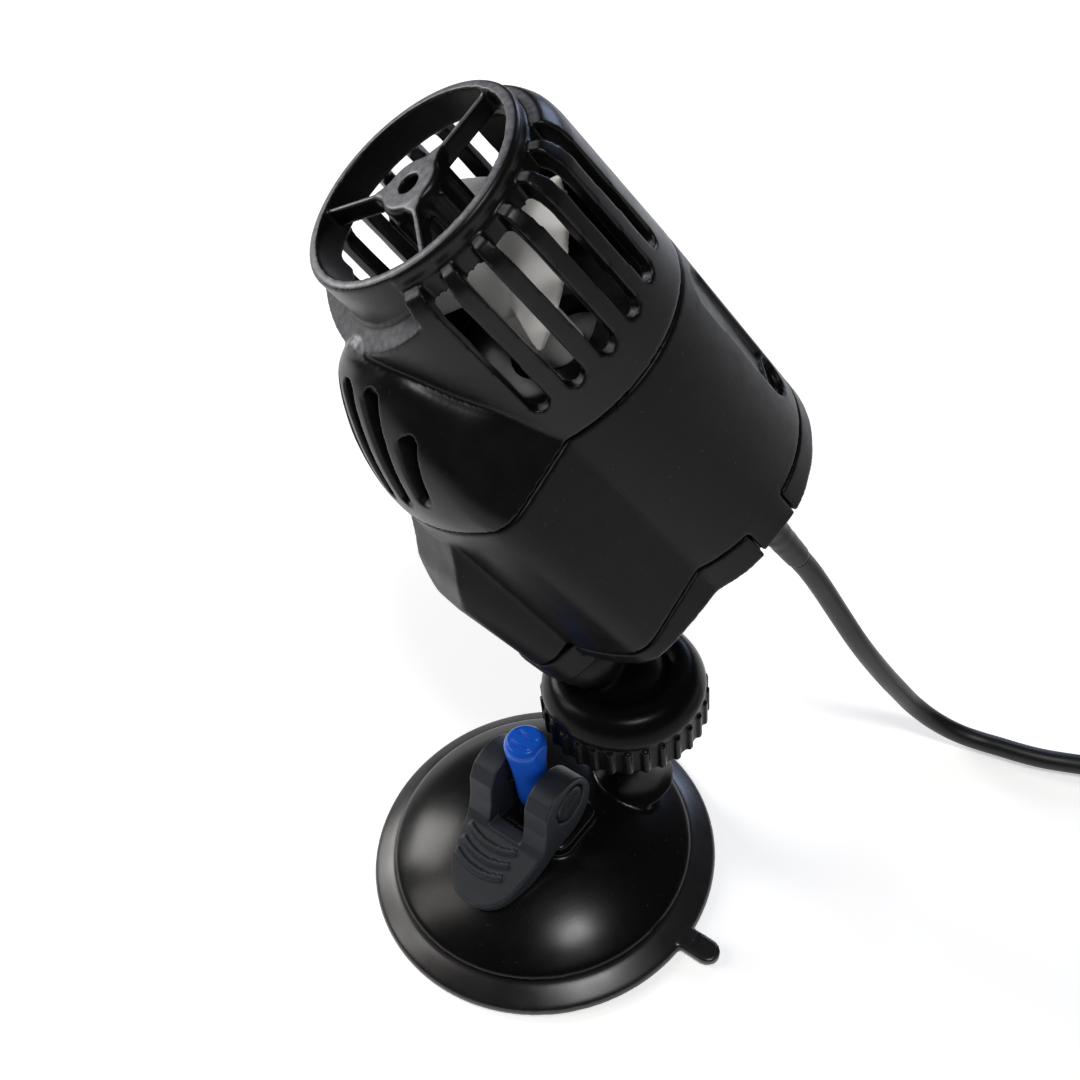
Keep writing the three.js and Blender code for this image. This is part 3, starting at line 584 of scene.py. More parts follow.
def make_plug():
    """A flat two-pin plug with grooves to grip on both sides."""
    half = [(0, 5.5), (8, 7), (16, 16.6), (18, PLUG_HALF_WIDTH), (PLUG_LENGTH, PLUG_HALF_WIDTH)]
    shell = slab(half + mirrored(half), PLUG_BOTTOM, PLUG_TOP)
    grooves = []
    for side in (1, -1):
        middle = side * (PLUG_HALF_WIDTH - 0.3)
        for i in range(GRIP_RIBS):
            x = 20 + i * GRIP_PITCH
            grooves.append(block(x, x + 1.2, middle - 0.6, middle + 0.6, 3, 11.6))
    shell = softened(cut(shell, gathered(grooves)), 0.4, 8)
    moved(shell, PLUG_REAR, PLUG_Y)
    body = piece("plug", shell, WORLD, "pump", SHEATH, "cord_pvc", "plug_body")
    pins = []
    middle = (PLUG_BOTTOM + PLUG_TOP) / 2
    for number, side in ((1, -1), (2, 1)):
        tip = [[2, CONTACT_LENGTH - 1.6], [1.8, CONTACT_LENGTH - 0.8], [1.2, CONTACT_LENGTH - 0.2]]
        pin = turned_by(lathe([[0, 0], [2, 0]] + tip + [[0, CONTACT_LENGTH]], 48), 90, "Y")
        moved(pin, PLUG_REAR + PLUG_LENGTH + SEAM, PLUG_Y + side * CONTACT_SPREAD, middle)
        name = f"plug_contact_{number}"
        pins.append(piece(name, pin, WORLD, "pump", BRASS, "pin_brass", f"plug_pin_{number}"))
    return [body] + pins


ON_CABLE = [make_tie()] + make_plug()


# ------------------------------------------------------------------ body section and chin

BODY_RADIUS = 25
BELLY_RADIUS = 38.4
CREASE_ANGLE = 55.4
FLANK_FLARE = 8
FLANK_CORNER = 5.5
WALL = 2.2
CAGE_END = 37.1
HOUSING_END = 78.4
CAP_END = 89
SOCKET_END = 86.3
NOZZLE_RADIUS = 19.6
COLLAR_RADIUS = 19.3
NOZZLE_BORE = 17.5
BARREL_FRONT = 23.3
SHOULDER_END = 8.6
CABLE_SIDE = 19.2
CABLE_SET_BACK = 0.8


def body_outline(inset, steps=96):
    """Round above, with flared flanks and a broad belly: the body's section, inset from outside."""
    crease = math.radians(CREASE_ANGLE)
    flare = math.radians(FLANK_FLARE)
    along = Vector((math.cos(flare), math.sin(flare)))
    inward = Vector((math.sin(flare), -math.cos(flare)))
    fold = BODY_RADIUS * Vector((math.cos(crease), math.sin(crease))) + inset * inward
    clear = fold.dot(inward)
    round_radius = BODY_RADIUS - inset
    belly = BELLY_RADIUS - inset
    corner = FLANK_CORNER - inset * 0.6
    start = fold + (math.sqrt(round_radius ** 2 - clear ** 2) - fold.dot(along)) * along
    reach = math.sqrt((belly - corner) ** 2 - (clear + corner) ** 2)
    centre = fold + (reach - fold.dot(along)) * along + corner * inward
    corner_end = math.degrees(math.atan2(centre.y, centre.x))
    half = arc(0, 0, belly, 0, corner_end, 16)[1:-1]
    half += arc(centre.x, centre.y, corner, corner_end, 90 + FLANK_FLARE, 12) + [tuple(start)]
    start_angle = math.degrees(math.atan2(start.y, start.x))
    back = arc(0, 0, round_radius, start_angle, 360 - start_angle, steps)[1:-1]
    return [(belly, 0)] + half + back + mirrored(half)


def taper(depth):
    """The whole body widens a little from the front seam to the rear."""
    return 0.984 + (depth - CAGE_END) * 0.00097


def body_prism(inset, start, end):
    """The body between two depths, widening as it goes back."""
    mesh = slab(body_outline(inset), -end, -start)
    for vert in mesh.vertices:
        scale = taper(-vert.co.z)
        vert.co.x *= scale
        vert.co.y *= scale
    return mesh


def reach_of(points, angle):
    """How far an outline reaches from the axis at an angle."""
    c, s = math.cos(math.radians(angle)), math.sin(math.radians(angle))
    reach = 0
    for (x0, y0), (x1, y1) in zip(points, points[1:] + points[:1]):
        off0 = y0 * c - x0 * s
        off1 = y1 * c - x1 * s
        if off0 * off1 > 0 or off0 == off1:
            continue
        t = off0 / (off0 - off1)
        reach = max(reach, (x0 + (x1 - x0) * t) * c + (y0 + (y1 - y0) * t) * s)
    return reach


# The chin: how far it reaches from the axis, and half the angle it covers, at depths.
CHIN_SIDE = smooth_line([
    (22.9, 9.6), (24.9, 10.6), (26.5, 12), (28.8, 14), (31, 17.4), (32.8, 20.8),
    (34.4, 24.3), (35.7, 27.8), (36.8, 31.4), (37.5, 34.4), (37.8, CAGE_END),
], 4)
CHIN_SPREAD = smooth_line([
    (3, 9.6), (12, 11.6), (24, 15.3), (35, 21.4), (43.6, 26.6), (52.3, 34.7), (CREASE_ANGLE, CAGE_END),
], 6)


def value_at(table, depth):
    """The value at a depth, between the two nearest (value, depth) pairs of a table."""
    for (v0, d0), (v1, d1) in zip(table, table[1:]):
        if d1 >= depth:
            return v0 + (v1 - v0) * (depth - d0) / (d1 - d0)
    return table[-1][0]


def barrel_radius(depth):
    rear = BODY_RADIUS * taper(CAGE_END)
    return BARREL_FRONT + (rear - BARREL_FRONT) * (depth - SHOULDER_END) / (CAGE_END - SHOULDER_END)


def chin_section(depth, inset, steps=40):
    """The chin's section as a wedge from the axis: round at the nozzle, the body's own at the seam."""
    spread = max(1, value_at(CHIN_SPREAD, depth) - inset * 2.8)
    barrel = barrel_radius(depth)
    rise = value_at(CHIN_SIDE, depth) - barrel
    blend = eased((depth - 12) / (CAGE_END - 12))
    body = body_outline(0)
    points = [(0, 0)]
    for i in range(-steps, steps + 1):
        across = i / steps
        rounded_part = math.sqrt(1 - across * across)
        reach = reach_of(body, abs(across) * CREASE_ANGLE)
        square_part = (reach - BODY_RADIUS) / (BELLY_RADIUS - BODY_RADIUS)
        reach = barrel - inset + rise * (rounded_part + (square_part - rounded_part) * blend)
        angle = math.radians(across * spread)
        points.append((reach * math.cos(angle), reach * math.sin(angle)))
    return points


def skinned(sections):
    """A solid skinned over sections with equally many points."""
    count = len(sections[0])
    verts = [vert for section in sections for vert in section]
    last = (len(sections) - 1) * count
    faces = []
    for i in range(1, count - 1):
        faces += [(0, i, i + 1), (last, last + i, last + i + 1)]
    for row in range(0, last, count):
        for i in range(count):
            j = (i + 1) % count
            faces += [(row + i, row + j, row + count + j, row + count + i)]
    return solid(verts, faces)


def chin(inset, end):
    """The chin as a solid, or, with an inset, the hollow inside it."""
    sections = []
    for _, depth in CHIN_SIDE:
        place = end if depth == CAGE_END else min(depth + inset * 0.8, end - 0.01 * (CAGE_END - depth))
        sections.append([(x, y, -place) for x, y in chin_section(depth, inset)])
    return skinned(sections)


# ------------------------------------------------------------------ front cage

NECK_SPREAD = 47.5
NECK_WALL = 2.4
NECK_INNER = (8, -3.7)
NECK_OUTER = (30, -13.3)
SLOTS_EACH_SIDE = 6
FIRST_SLOT = 57.5
SLOT_PITCH = 16
SLOT_WIDTH = 3.5
SLOT_END = 30
CHIN_SLOT_PITCH = 5.2
CHIN_SLOT_WIDTH = 3.1
CHIN_SLOT_SPANS = [(14.2, 31.6), (15, 31.2), (21.6, 30)]
HUB_RADIUS = 5.4
HUB_BORE = 1.75
HUB_END = 10
SPOKE_ANGLES = (180, 60, -60)
SPOKE_HALF = 0.48
HUB_RIBS = 12


def cage_slots():
    """The long slots on both sides, from the collar back."""
    radius = SLOT_WIDTH / 2
    slots = []
    for i in range(SLOTS_EACH_SIDE):
        for way in (1, -1):
            shape = slab(stadium(0, 1, 0, radius - SLOT_END, radius), COLLAR_RADIUS + 0.3, 28, "YZ")
            slots.append(turned_by(shape, way * (FIRST_SLOT + i * SLOT_PITCH)))
    return gathered(slots)


def chin_slots():
    """Five slots in the chin, shorter towards its sides."""
    slots = []
    for i in range(-2, 3):
        start, end = CHIN_SLOT_SPANS[abs(i)]
        y = i * CHIN_SLOT_PITCH
        slots.append(slab(stadium(y, -start, y, -end, CHIN_SLOT_WIDTH / 2), 26, 45, "YZ"))
    return gathered(slots)


def neck_space(radius, lower):
    """The space outside a radius and over a sloping plane, on the chin's side of the nozzle."""
    inner, high = NECK_INNER
    outer, deep_end = NECK_OUTER
    side = [(inner, 3), (outer, 3), (outer, deep_end - lower), (inner, high - lower)]
    wedge = slab(side, -30, 30, "XZ")
    sector = slab(arc(0, 0, 34, -NECK_SPREAD, NECK_SPREAD, 40) + [(4, 0)], -20, 5)
    return cut(common(wedge, sector), rod(radius, -20, 5, 192))


def nozzle_hub():
    """The hub with its three spokes, the webs in their corners and fine ribs along its sides."""
    start = 0.3
    boss = deep([
        [0, start], [4.6, start], [5.3, 0.9], [HUB_RADIUS, 3], [HUB_RADIUS, HUB_END], [0, HUB_END],
    ], 96)
    parts = [boss]
    root = 3.5
    for angle in SPOKE_ANGLES:
        spoke = block(root, NOZZLE_BORE + 0.8, -SPOKE_HALF, SPOKE_HALF, -3.8, -0.6)
        web_plan = [(root, -2.6), (7.2, -SPOKE_HALF), (7.2, SPOKE_HALF), (root, 2.6)]
        web = slab(web_plan, -2.4, -0.4)
        parts += [turned_by(spoke, angle), turned_by(web, angle)]
    step = 360 / HUB_RIBS
    for i in range(HUB_RIBS):
        rib = block(HUB_RADIUS - 0.5, HUB_RADIUS + 0.6, -0.35, 0.35, -9.8, -2.4)
        parts.append(turned_by(rib, (i + 0.5) * step))
    seat = 3.9
    bore = deep([[0, -1], [HUB_BORE, -1], [HUB_BORE, 4], [seat, 4], [seat, 11], [0, 11]], 64)
    return cut(union(*parts), bore)


def make_front_cage():
    """A lipped collar, a shoulder and a barrel, with the chin, the neck, the slots and the hub."""
    rear = BODY_RADIUS * taper(CAGE_END)
    shoulder = smooth_line([
        (20.9, 3.3), (21.5, 3.7), (22.2, 4.7), (22.9, 6.2), (BARREL_FRONT, SHOULDER_END),
    ], 5)
    lip = [
        [0, 0], [18.6, 0], [19.2, 0.2], [19.5, 0.6], [NOZZLE_RADIUS, 1], [19.55, 1.5],
        [COLLAR_RADIUS, 2.4], [COLLAR_RADIUS, 3], [20.4, 3.1],
    ]
    barrel = deep(lip + shoulder + [[rear, CAGE_END], [0, CAGE_END]], 192)
    hollow = deep([
        [0, -1], [NOZZLE_BORE, -1], [NOZZLE_BORE, 5.6], [19, 6], [20.3, 7.2],
        [BARREL_FRONT - WALL, 9.4], [rear - WALL, CAGE_END], [rear - WALL, CAGE_END + 1],
        [0, CAGE_END + 1],
    ], 192)
    neck_wall = neck_space(NOZZLE_BORE, NECK_WALL)
    bowl = cut(hollow, neck_wall.copy())
    chin_bowl = cut(chin(WALL, CAGE_END + 1), neck_wall)
    shell = union(cut(barrel, neck_space(COLLAR_RADIUS, 0)), chin(0, CAGE_END))
    shell = cut(shell, bowl, chin_bowl, cage_slots(), chin_slots())
    mesh = softened(union(shell, nozzle_hub()), 0.34, 4)
    piece("cage", mesh, PUMP, "pump", CAGE_BLACK, "black_plastic", "front_cage")


# ------------------------------------------------------------------ impeller and shaft

BLADES = 3
FIRST_BLADE = 70
BLADE_LENGTH = 13
BLADE_END = 24.5
BLADE_TWIST = 5.2
SHAFT_RADIUS = 1.5
SHAFT_END = 70.1


def blade(start, steps=26):
    """A blade whose rounded section turns as it goes along the shaft."""
    half = smooth_line([(4.8, 1.0), (12, 1.1), (17.6, 0.9), (19, 0.5), (19.2, 0)], 5)
    section = half + mirrored(half[:-1])
    count = len(section)
    verts = []
    for i in range(steps + 1):
        height = BLADE_LENGTH * i / steps
        turn = math.radians(start + height * BLADE_TWIST)
        for x, y in section:
            verts.append((x * math.cos(turn) - y * math.sin(turn),
                          x * math.sin(turn) + y * math.cos(turn), height - BLADE_END))
    faces = [list(range(count)), list(range(steps * count, (steps + 1) * count))]
    for i in range(steps):
        for j in range(count):
            k = (j + 1) % count
            faces.append([i * count + j, i * count + k, (i + 1) * count + k, (i + 1) * count + j])
    return solid(verts, faces)


def make_impeller():
    """The wheel: three twisted blades on a hub, and the sleeve that carries the magnet."""
    hub = deep([
        [0, 11], [4.2, 11], [5.2, 11.5], [5.8, 12.6], [5.8, 25.2], [5.2, 26.4], [4, 27],
        [4, 41.6], [0, 41.6],
    ], 96)
    blades = [blade(FIRST_BLADE + i * 360 / BLADES) for i in range(BLADES)]
    wheel = cut(union(hub, *blades), rod(SHAFT_RADIUS + 0.1, -43, -10))
    piece("wheel", softened(wheel, 0.36, 6), PUMP, "rotor", WHITE, "white_plastic", "impeller")


def make_shaft():
    chamfer = [[SHAFT_RADIUS - 0.4, 4.4], [SHAFT_RADIUS, 4.9]]
    pin = deep([[0, 4.4]] + chamfer + [[SHAFT_RADIUS, SHAFT_END], [0, SHAFT_END]], 48)
    piece("axle", pin, PUMP, "pump", STEEL, "stainless", "shaft")


# ------------------------------------------------------------------ housing and rear cap

RAIL_HALF_WIDTH = 7.5
RAIL_TOP = 45.6
RAIL_ROOT = 30
RECESS_ANGLE = 144.5
RECESS_START = 45
RECESS_END = 69.5
RECESS_RADIUS = 4
RECESS_DEPTH = 1.2
TAB_END = 84.6
CAP_DOME_RADIUS = 90
CAP_DOME_SHIFT = 6
CAP_HOLLOW_END = 82.2
STEM_SOCKET_RADIUS = 8.2
STEM_BORE = 4.8
OUTLET_RADIUS = 3.2
GLAND_START = 80.6
GLAND_END = 100.6
GLAND_RADIUS = 2.9
GLAND_TIP_RADIUS = 2.38
GLAND_RINGS = 5


def rail_section():
    """The keel rail across: a bar with round outer corners."""
    corner = 4.5
    middle = RAIL_HALF_WIDTH - corner
    points = [(RAIL_ROOT, -RAIL_HALF_WIDTH)]
    points += arc(RAIL_TOP - corner, -middle, corner, 270, 360, 10)
    points += arc(RAIL_TOP - corner, middle, corner, 0, 90, 10)
    return points + [(RAIL_ROOT, RAIL_HALF_WIDTH)]


def rail(start, end):
    """The rail between two depths, rising out of the body on a curved ramp."""
    rise = smooth_line([(37.9, -43), (40.2, -46.5), (42.6, -49.8), (44.4, -53.4), (47, -58.5)], 6)
    ramp = [(RAIL_ROOT, -41)] + rise + [(47, -end - 1), (RAIL_ROOT, -end - 1)]
    return common(slab(rail_section(), -end, -start), slab(ramp, -12, 12, "XZ"))


def cable_tab(grow, start, end):
    """The housing's tab beside the cable, or the wider opening for it in the cap."""
    span = 10 + grow
    radius = BODY_RADIUS * taper(HOUSING_END)
    outer = arc(0, 0, radius + grow * 2, 90 - span, 90 + span, 14)
    inner = arc(0, 0, radius - 2 - grow * 0.4, 90 + span, 90 - span, 14)
    return slab(outer + inner, -end, -start)


def make_mid_housing():
    """The body's shell with the keel rail, the long ribbed recesses and the tab beside the cable."""
    start = CAGE_END + SEAM
    shell = union(body_prism(0, start, HOUSING_END), rail(start, HOUSING_END))
    shell = cut(shell, body_prism(WALL, start - 1, HOUSING_END + 1))
    shape = stadium(0, -RECESS_START, 0, -RECESS_END, RECESS_RADIUS, 14)
    half = RECESS_RADIUS - 0.1
    rib_end = RECESS_END - 1.1
    for way in (1, -1):
        recess = slab(shape, BODY_RADIUS - RECESS_DEPTH, BODY_RADIUS + 5, "YZ")
        shell = cut(shell, turned_by(recess, way * RECESS_ANGLE))
        rib = block(23, BODY_RADIUS - 0.5, -half, half, -rib_end, 1 - rib_end)
        shell = union(shell, turned_by(rib, way * RECESS_ANGLE))
    shell = union(shell, cable_tab(0, HOUSING_END - 2, TAB_END))
    shell = softened(shell, 0.42, 5)
    piece("housing", shell, PUMP, "pump", BODY_BLACK, "black_plastic", "mid_housing")


def make_rear_cap():
    """The cap: the body's section under a shallow dome, with the rail's tail and the stem's socket."""
    start = HOUSING_END + SEAM
    rim = []
    for degrees in range(40, 0, -2):
        angle = math.radians(degrees)
        rim.append([CAP_DOME_RADIUS * math.sin(angle), -CAP_DOME_RADIUS * math.cos(angle)])
    lens = lathe([[0, 0]] + rim + [[0, -CAP_DOME_RADIUS]], 192)
    moved(lens, CAP_DOME_SHIFT, 0, CAP_DOME_RADIUS - CAP_END)
    shell = common(body_prism(0, start, CAP_END + 1), lens)
    shell = cut(shell, body_prism(WALL, start - 1, CAP_HOLLOW_END))
    tail = slab(rail_section(), -SOCKET_END, -start)
    socket = moved(rod(STEM_SOCKET_RADIUS, -SOCKET_END, -start, 96), STEM_OFFSET)
    shell = union(shell, tail, socket)
    bore = moved(rod(STEM_BORE, -SOCKET_END - 1, -80, 64), STEM_OFFSET)
    outlet = moved(rod(OUTLET_RADIUS, -95, -70, 64), -CABLE_SET_BACK, CABLE_SIDE)
    shell = cut(shell, bore, outlet, cable_tab(0.8, start - 1, CAP_END + 1))
    piece("tail_cap", softened(shell, 0.4, 5), PUMP, "pump", BODY_BLACK, "black_plastic", "rear_cap")


def make_gland():
    """A slim tapered sleeve with soft rings that fade towards its tip."""
    profile = [[0, GLAND_START], [GLAND_RADIUS, GLAND_START]]
    steps = 60
    first = GLAND_START + 4
    last = GLAND_END - 0.4
    for i in range(steps + 1):
        along = i / steps
        ring = 0.07 * math.sin(along * 2 * math.pi * GLAND_RINGS) * (1 - along)
        radius = GLAND_RADIUS + (GLAND_TIP_RADIUS - GLAND_RADIUS) * along + ring
        profile.append([radius, first + (last - first) * along])
    profile += [[GLAND_TIP_RADIUS - 0.08, GLAND_END], [0, GLAND_END]]
    mesh = moved(deep(profile, 64), -CABLE_SET_BACK, CABLE_SIDE)
    piece("strain_relief", mesh, PUMP, "pump", SHEATH, "cord_pvc", "cable_gland")


# ------------------------------------------------------------------ ball joint and nut

BALL_RADIUS = 9.6
STEM_RADIUS = 7.2
SPIGOT_RADIUS = 4.5
SPIGOT_LENGTH = 5.8
NUT_RADIUS = 16.6
NUT_RIBS = 30
NUT_RIB_HEIGHT = 0.6
NUT_SKIRT = (-8.5, -1.9)


def make_ball_stem():
    """The ball, its waist, the stem and the spigot that goes into the cap."""
    end = BALL_DEPTH - SOCKET_END - SEAM
    tip = end + SPIGOT_LENGTH
    ball = arc(0, 0, BALL_RADIUS, -90, 56, 30)[1:]
    neck = smooth_line([(5.37, 7.96), (5.5, 9.2), (6.3, 11), (7.0, 12.9), (STEM_RADIUS, 14.5)], 5)
    profile = [[0, -BALL_RADIUS]] + ball + neck[1:]
    profile += [[STEM_RADIUS, end - 0.5], [STEM_RADIUS - 0.3, end]]
    profile += [[SPIGOT_RADIUS, end], [SPIGOT_RADIUS, tip], [0, tip]]
    piece("stem", lathe(profile, 128), STEM, "ball", BODY_BLACK, "black_plastic", "ball_stem")


def make_nut():
    """The nut: a ribbed skirt under a round crown, bored for the socket and the stem's swing."""
    outline = []
    step = 360 / NUT_RIBS
    for i in range(NUT_RIBS):
        at = i * step
        outline += arc(0, 0, NUT_RADIUS + NUT_RIB_HEIGHT, at - step * 0.15, at + step * 0.15, 3)
        outline += arc(0, 0, NUT_RADIUS - 0.1, at + step * 0.25, at + step * 0.75, 5)
    skirt = slab(outline, *NUT_SKIRT)
    crown_line = smooth_line([
        (NUT_RADIUS - 0.5, -2.4), (NUT_RADIUS, -1.0), (NUT_RADIUS - 0.05, 0.6), (15.6, 2.7),
        (14.2, 4.2), (12.6, 4.8), (11, 4.6), (9.2, 3.6),
    ], 6)
    crown = lathe([[0, -3]] + crown_line + [[0, 3.6]], 192)
    bore = lathe([
        [0, -9], [13.7, -9], [13.7, -0.1], [9.95, -0.1], [9.75, 1.9], [9.25, 3.6], [9.25, 6], [0, 6],
    ], 128)
    mesh = softened(cut(union(skirt, crown), bore), 0.26, 4)
    piece("nut_ring", mesh, BALL_LEVEL, "nut", NUT_BLACK, "black_plastic", "collar_nut")


# ------------------------------------------------------------------ suction cup and lever

LEVER_COMPASS = math.degrees(math.atan2(ARM.y, ARM.x))
POST_X = BALL.x / MM
POST_Y = BALL.y / MM
BALL_HEIGHT = BALL.z / MM
PIVOT_HEIGHT = LEVER_PIVOT.z / MM
SOCKET_RADIUS = 11.6
SOCKET_RIM = 13.3
PLATFORM_TOP = 17.2
ROD_HOLE = 2.9
TAB_RADIUS = 2.6
TAB_COMPASS = -43.5
PIVOT_BORE = 2.1


def make_dome():
    """The shell with the lever's platform and, beside it, the flared post with the ball's socket."""
    skin = smooth_line([
        (32.4, 4.9), (32.3, 5.7), (31.2, 6.8), (27, 9.3), (22, 11.5), (16, 13.4), (10, 14.5),
    ], 6)
    shell = lathe([[0, 4.6], [32.1, 4.6]] + skin + [[0, 14.9]], 192)
    hollow = lathe([
        [0, 3], [30.4, 3], [30.4, 5], [26, 7.4], [21, 9.6], [15, 11.4], [9.6, 12.4], [0, 12.9],
    ], 96)
    platform = turned_by(slab(rounded(-8, 6, -11, 11, 3), 12.9, PLATFORM_TOP), LEVER_COMPASS)
    foot = 11.6
    flare = smooth_line([
        (9.6, foot), (7.6, 14), (6.2, 17), (5.4, 20.5), (5.2, 26), (7.6, 29.6), (12.2, 32.4),
        (SOCKET_RIM, 34),
    ], 6)
    bowl = arc(0, BALL_HEIGHT, SOCKET_RADIUS, -2, -90, 24)[:-1]
    post = lathe([[0, foot]] + flare + [[SOCKET_RIM, BALL_HEIGHT - 0.4]]
                 + bowl + [[0, BALL_HEIGHT - SOCKET_RADIUS]], 128)
    whole = union(cut(shell, hollow), platform, moved(post, POST_X, POST_Y))
    whole = cut(whole, rod(ROD_HOLE, 5, 20))
    piece("dome_shell", softened(whole, 0.42, 7), WORLD, "base", BASE_BLACK, "base_plastic", "dome")


def make_cup():
    """The cup: a disc with a thin rim, the boss that holds the rod's foot, and the release tab."""
    rim = smooth_line([
        (37.0, 0.0), (37.4, 0.35), (37.5, 1.0), (37.3, 1.8), (36.6, 2.4), (33.2, 4.1), (31.8, 4.3),
    ], 5)
    disc = lathe([[0, 0]] + rim + [
        [24, 3.6], [9, 3.6], [8.4, 10], [2.7, 10], [2.7, 8.4], [4.6, 8.4], [4.6, 1.4], [0, 1.4],
    ], 192)
    tab = slab(stadium(35, 0, 42.4, 0, TAB_RADIUS, 12), 0.4, 2.4)
    groove = slab(rounded(38.6, 39.3, -4, 4, 0.3, 3), 1.9, 3)
    tab = turned_by(cut(tab, groove), TAB_COMPASS)
    mesh = softened(union(disc, tab), 0.42, 4)
    piece("cup_disc", mesh, WORLD, "base", CUP_RUBBER, "cup_rubber", "rubber_cup")


def make_pull_rod():
    """The rod: a foot in the cup, a body flattened on two sides and two crescents in its top."""
    line = smooth_line([
        (2.1, 17), (2.7, 19.5), (3.4, 24), (3.5, 30), (3.9, 35), (4.3, 38.5), (4.2, 40.2), (3.4, 41.3),
    ], 6)
    body = lathe([[0, 4.8], [4.1, 4.8], [4.1, 7.9], [2.1, 8.2]] + line + [[0, 41.7]], 96)
    for way in (1, -1):
        flat = turned_by(block(-9, 9, way * 6.9 - 3, way * 6.9 + 3, 10, 45), LEVER_COMPASS)
        body = cut(body, flat)
    bore = turned_by(turned_by(rod(PIVOT_BORE, -15, 15), 90, "X"), LEVER_COMPASS)
    body = cut(body, moved(bore, 0, 0, PIVOT_HEIGHT))
    for offset in (-1.3, 1.5):
        outer = arc(offset - 7, 0, 7.8, -18, 18, 12)
        crescent = slab(outer + arc(offset - 7, 0, 7.2, 18, -18, 12), 41, 45)
        body = cut(body, turned_by(crescent, LEVER_COMPASS))
    piece("rod_body", softened(body, 0.2, 5), WORLD, "rod", BLUE, "blue_plastic", "pull_rod")


EAR_OUTER = 10.1
EAR_INNER = 4.2
EAR_RADIUS = 8
DISH_RADIUS = 4.4
DISH_DEPTH = 1.2
PAD_TOP = [(11, -7.1), (21.6, -12.6), (23.6, -13.4)]
PAD_SLOPE = 0.52
GRIP_PLACES = (13.4, 16, 18.5)
GRIP_RADIUS = 14
GRIP_SHIFT = -1.7
GRIP_HEIGHT = 0.55
PIN_RADIUS = 1.8
PIN_HEAD_RADIUS = 3.9
PIN_END_RADIUS = 3.2


def lever_plan(inset):
    """The lever from above, behind its ears: straight sides and a round end."""
    edge = EAR_OUTER - inset
    half = [(9, -edge), (14, 0.8 - edge)]
    return half + arc(15.4, 0, 8.6 - inset, -76, 76, 24) + mirrored(half)


def lifted_pad():
    """The pad's top, raised by the height of a grip ridge."""
    top = [(x, z + GRIP_HEIGHT) for x, z in [(10, -6.6)] + PAD_TOP]
    return slab(top + [(23.6, -16), (10, -12)], -9, 9, "XZ")


def make_lever():
    """The lever: two cam ears on the pin and a sloping pad with curved grip ridges."""
    side = arc(1.5, -1.5, EAR_RADIUS, 58, 270, 48)
    side += [(6.6, -9.5), (12, -12), (18, -13.6), (22.8, -14.9), (23.8, -14.4)] + PAD_TOP[::-1]
    side += [(9.6, -5.6), (8.4, -2), (7.6, 2.6)]
    plan = [(-12, -EAR_OUTER)] + lever_plan(0) + [(-12, EAR_OUTER)]
    arm = common(slab(side, -15, 15, "XZ"), slab(plan, -25, 20))
    arm = cut(
        arm,
        slab(rounded(-20, 7.6, -EAR_INNER, EAR_INNER, 1.5), -25, 20),
        block(0, 14, -EAR_INNER, EAR_INNER, -6.6, 20),
        turned_by(rod(PIVOT_BORE, -15, 15), 90, "X"),
    )
    for way in (1, -1):
        dish = turned_by(rod(DISH_RADIUS, -DISH_DEPTH, 1), way * -90, "X")
        arm = cut(arm, moved(dish, 0, way * EAR_OUTER))
    pad_start, pad_height = PAD_TOP[0]
    for x in GRIP_PLACES:
        outer = arc(x - GRIP_RADIUS, GRIP_SHIFT, GRIP_RADIUS + 0.5, -26, 26, 20)
        inner = arc(x - GRIP_RADIUS, GRIP_SHIFT, GRIP_RADIUS - 0.5, 26, -26, 20)
        top = pad_height - (x - pad_start) * PAD_SLOPE + 0.45
        ridge = slab(outer + inner, top - 2.4, top + 1.2)
        arm = union(arm, common(ridge, lifted_pad(), slab(lever_plan(0.6), -25, 20)))
    arm = softened(arm, 0.22, 4)
    piece("lever_arm", arm, LEVER, "clamp_lever", LEVER_BLACK, "lever_plastic", "lever")


def make_pivot_pin():
    """The pin with a slotted head in one dish and a plain end in the other."""
    shoulder = 9.2
    profile = [
        [0, -EAR_OUTER], [PIN_END_RADIUS - 0.2, -EAR_OUTER], [PIN_END_RADIUS, 0.2 - EAR_OUTER],
        [PIN_END_RADIUS, -shoulder], [PIN_RADIUS, -shoulder], [PIN_RADIUS, shoulder],
        [PIN_HEAD_RADIUS, shoulder], [PIN_HEAD_RADIUS, EAR_OUTER - 0.3],
        [PIN_HEAD_RADIUS - 0.3, EAR_OUTER], [0, EAR_OUTER],
    ]
    pin = turned_by(lathe(profile, 64), -90, "X")
    slot = turned_by(block(-2.6, 2.6, 9.55, 11, -0.45, 0.45), 28, "Y")
    pin = softened(cut(pin, slot), 0.14, 3)
    piece("hinge_pin", pin, LEVER, "rod", PIN_BLACK, "pin_black", "pivot_pin")


make_front_cage()
make_impeller()
make_shaft()
make_mid_housing()
make_rear_cap()
make_gland()
make_ball_stem()
make_nut()
make_dome()
make_cup()
make_pull_rod()
make_lever()
make_pivot_pin()

# ------------------------------------------------------------------ inner pieces, kept from the CAD

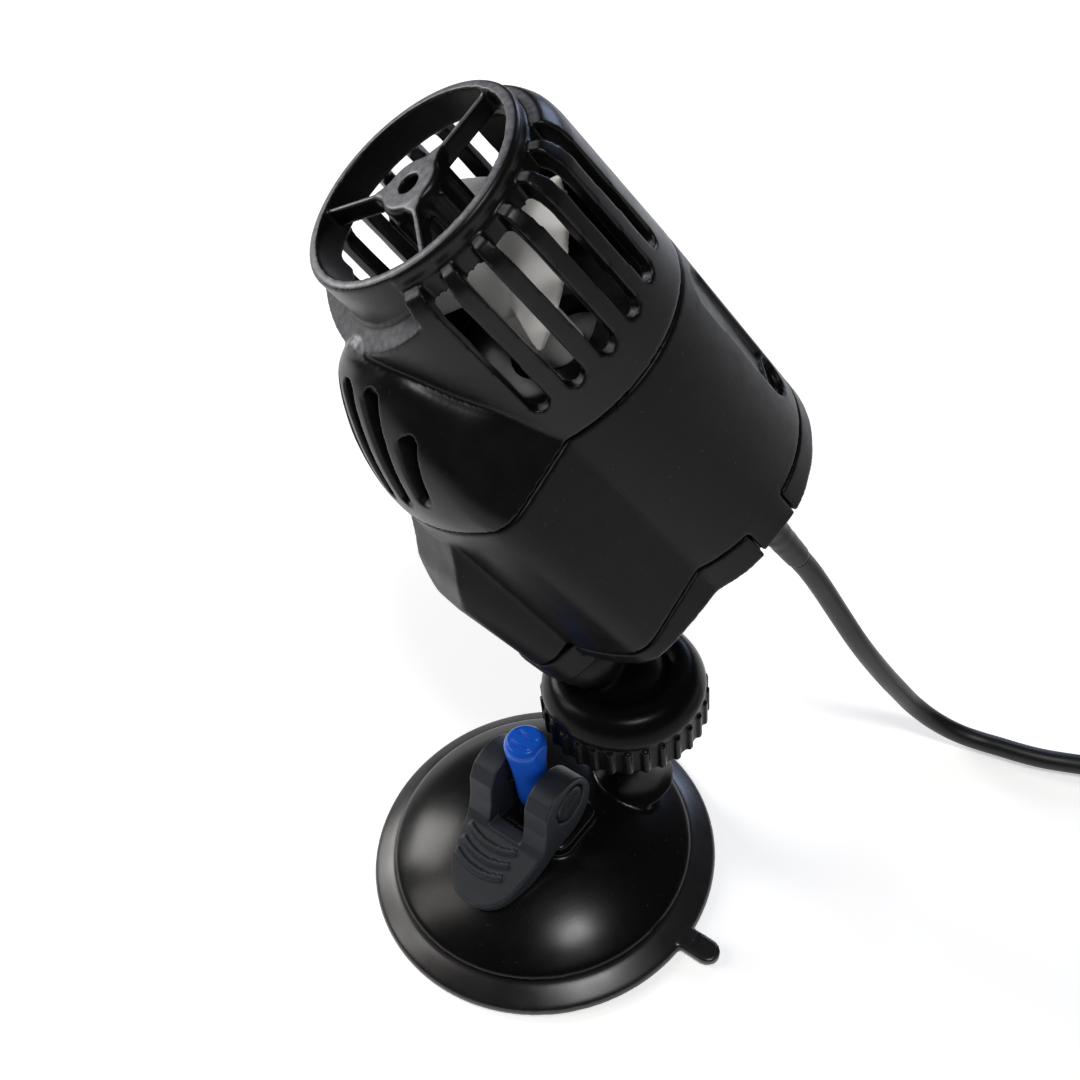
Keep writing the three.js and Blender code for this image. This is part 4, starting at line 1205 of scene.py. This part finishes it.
INNER = {
    "ball_seat": LEVER_BLACK,
    "front_bush": BEARING,
    "rear_bush": BEARING,
    "rotor_magnet": FERRITE,
    "rotor_can": CAN_BLACK,
    "stator_core": CORE,
    "winding_left": COPPER,
    "winding_right": COPPER,
    "potting": RESIN,
}


def dress_inner():
    """Materials for the CAD's own solids; their shapes stay as they are."""
    for node, material in INNER.items():
        data = frame["nodes"][node].data
        data.materials.clear()
        data.materials.append(material)


dress_inner()

# ------------------------------------------------------------------ floor and light


def make_floor():
    """A pale floor with a faint glow, so that it stays white where no light falls."""
    shader = Shader("floor_paint", (0.93, 0.93, 0.925), 0.75)
    shader.vary_roughness(shader.noise(30, 3), 0.7, 0.85)
    shader.set("Emission Color", (1, 1, 1, 1))
    shader.set("Emission Strength", 0.5)
    bpy.ops.mesh.primitive_plane_add(size=6, location=(0, 0, -0.0003))
    floor = bpy.context.object
    floor.name = "floor"
    floor.data.materials.append(shader.material)


def area_light(name, place, target, size, power, colour=(1, 1, 1)):
    data = bpy.data.lights.new(name, "AREA")
    data.shape = "RECTANGLE"
    data.size, data.size_y = size
    data.energy = power
    data.color = colour
    light = bpy.data.objects.new(name, data)
    light.location = place
    light.rotation_euler = (Vector(target) - Vector(place)).to_track_quat("-Z", "Y").to_euler()
    bpy.context.scene.collection.objects.link(light)


def make_light():
    """Soft lights on the left, overhead and behind, in a dim room."""
    world = bpy.data.worlds.new("studio")
    world.use_nodes = True
    background = world.node_tree.nodes["Background"]
    background.inputs["Color"].default_value = (1, 1, 1, 1)
    background.inputs["Strength"].default_value = 0.035
    bpy.context.scene.world = world
    centre = (0.02, 0.01, 0.06)
    area_light("window", (-0.84, 0.65, 0.6), centre, (0.4, 0.5), 7, (1, 0.98, 0.95))
    area_light("overhead", (0.19, -0.5, 1.2), centre, (0.26, 0.26), 5.8)
    area_light("left", (-0.78, 0.1, 0.66), centre, (0.25, 0.6), 2.2, (1, 0.96, 0.92))
    area_light("back", (0.6, 0.95, 0.5), centre, (0.5, 0.3), 3, (0.6, 0.7, 1))


make_floor()
make_light()
bpy.context.scene.view_settings.view_transform = "Standard"
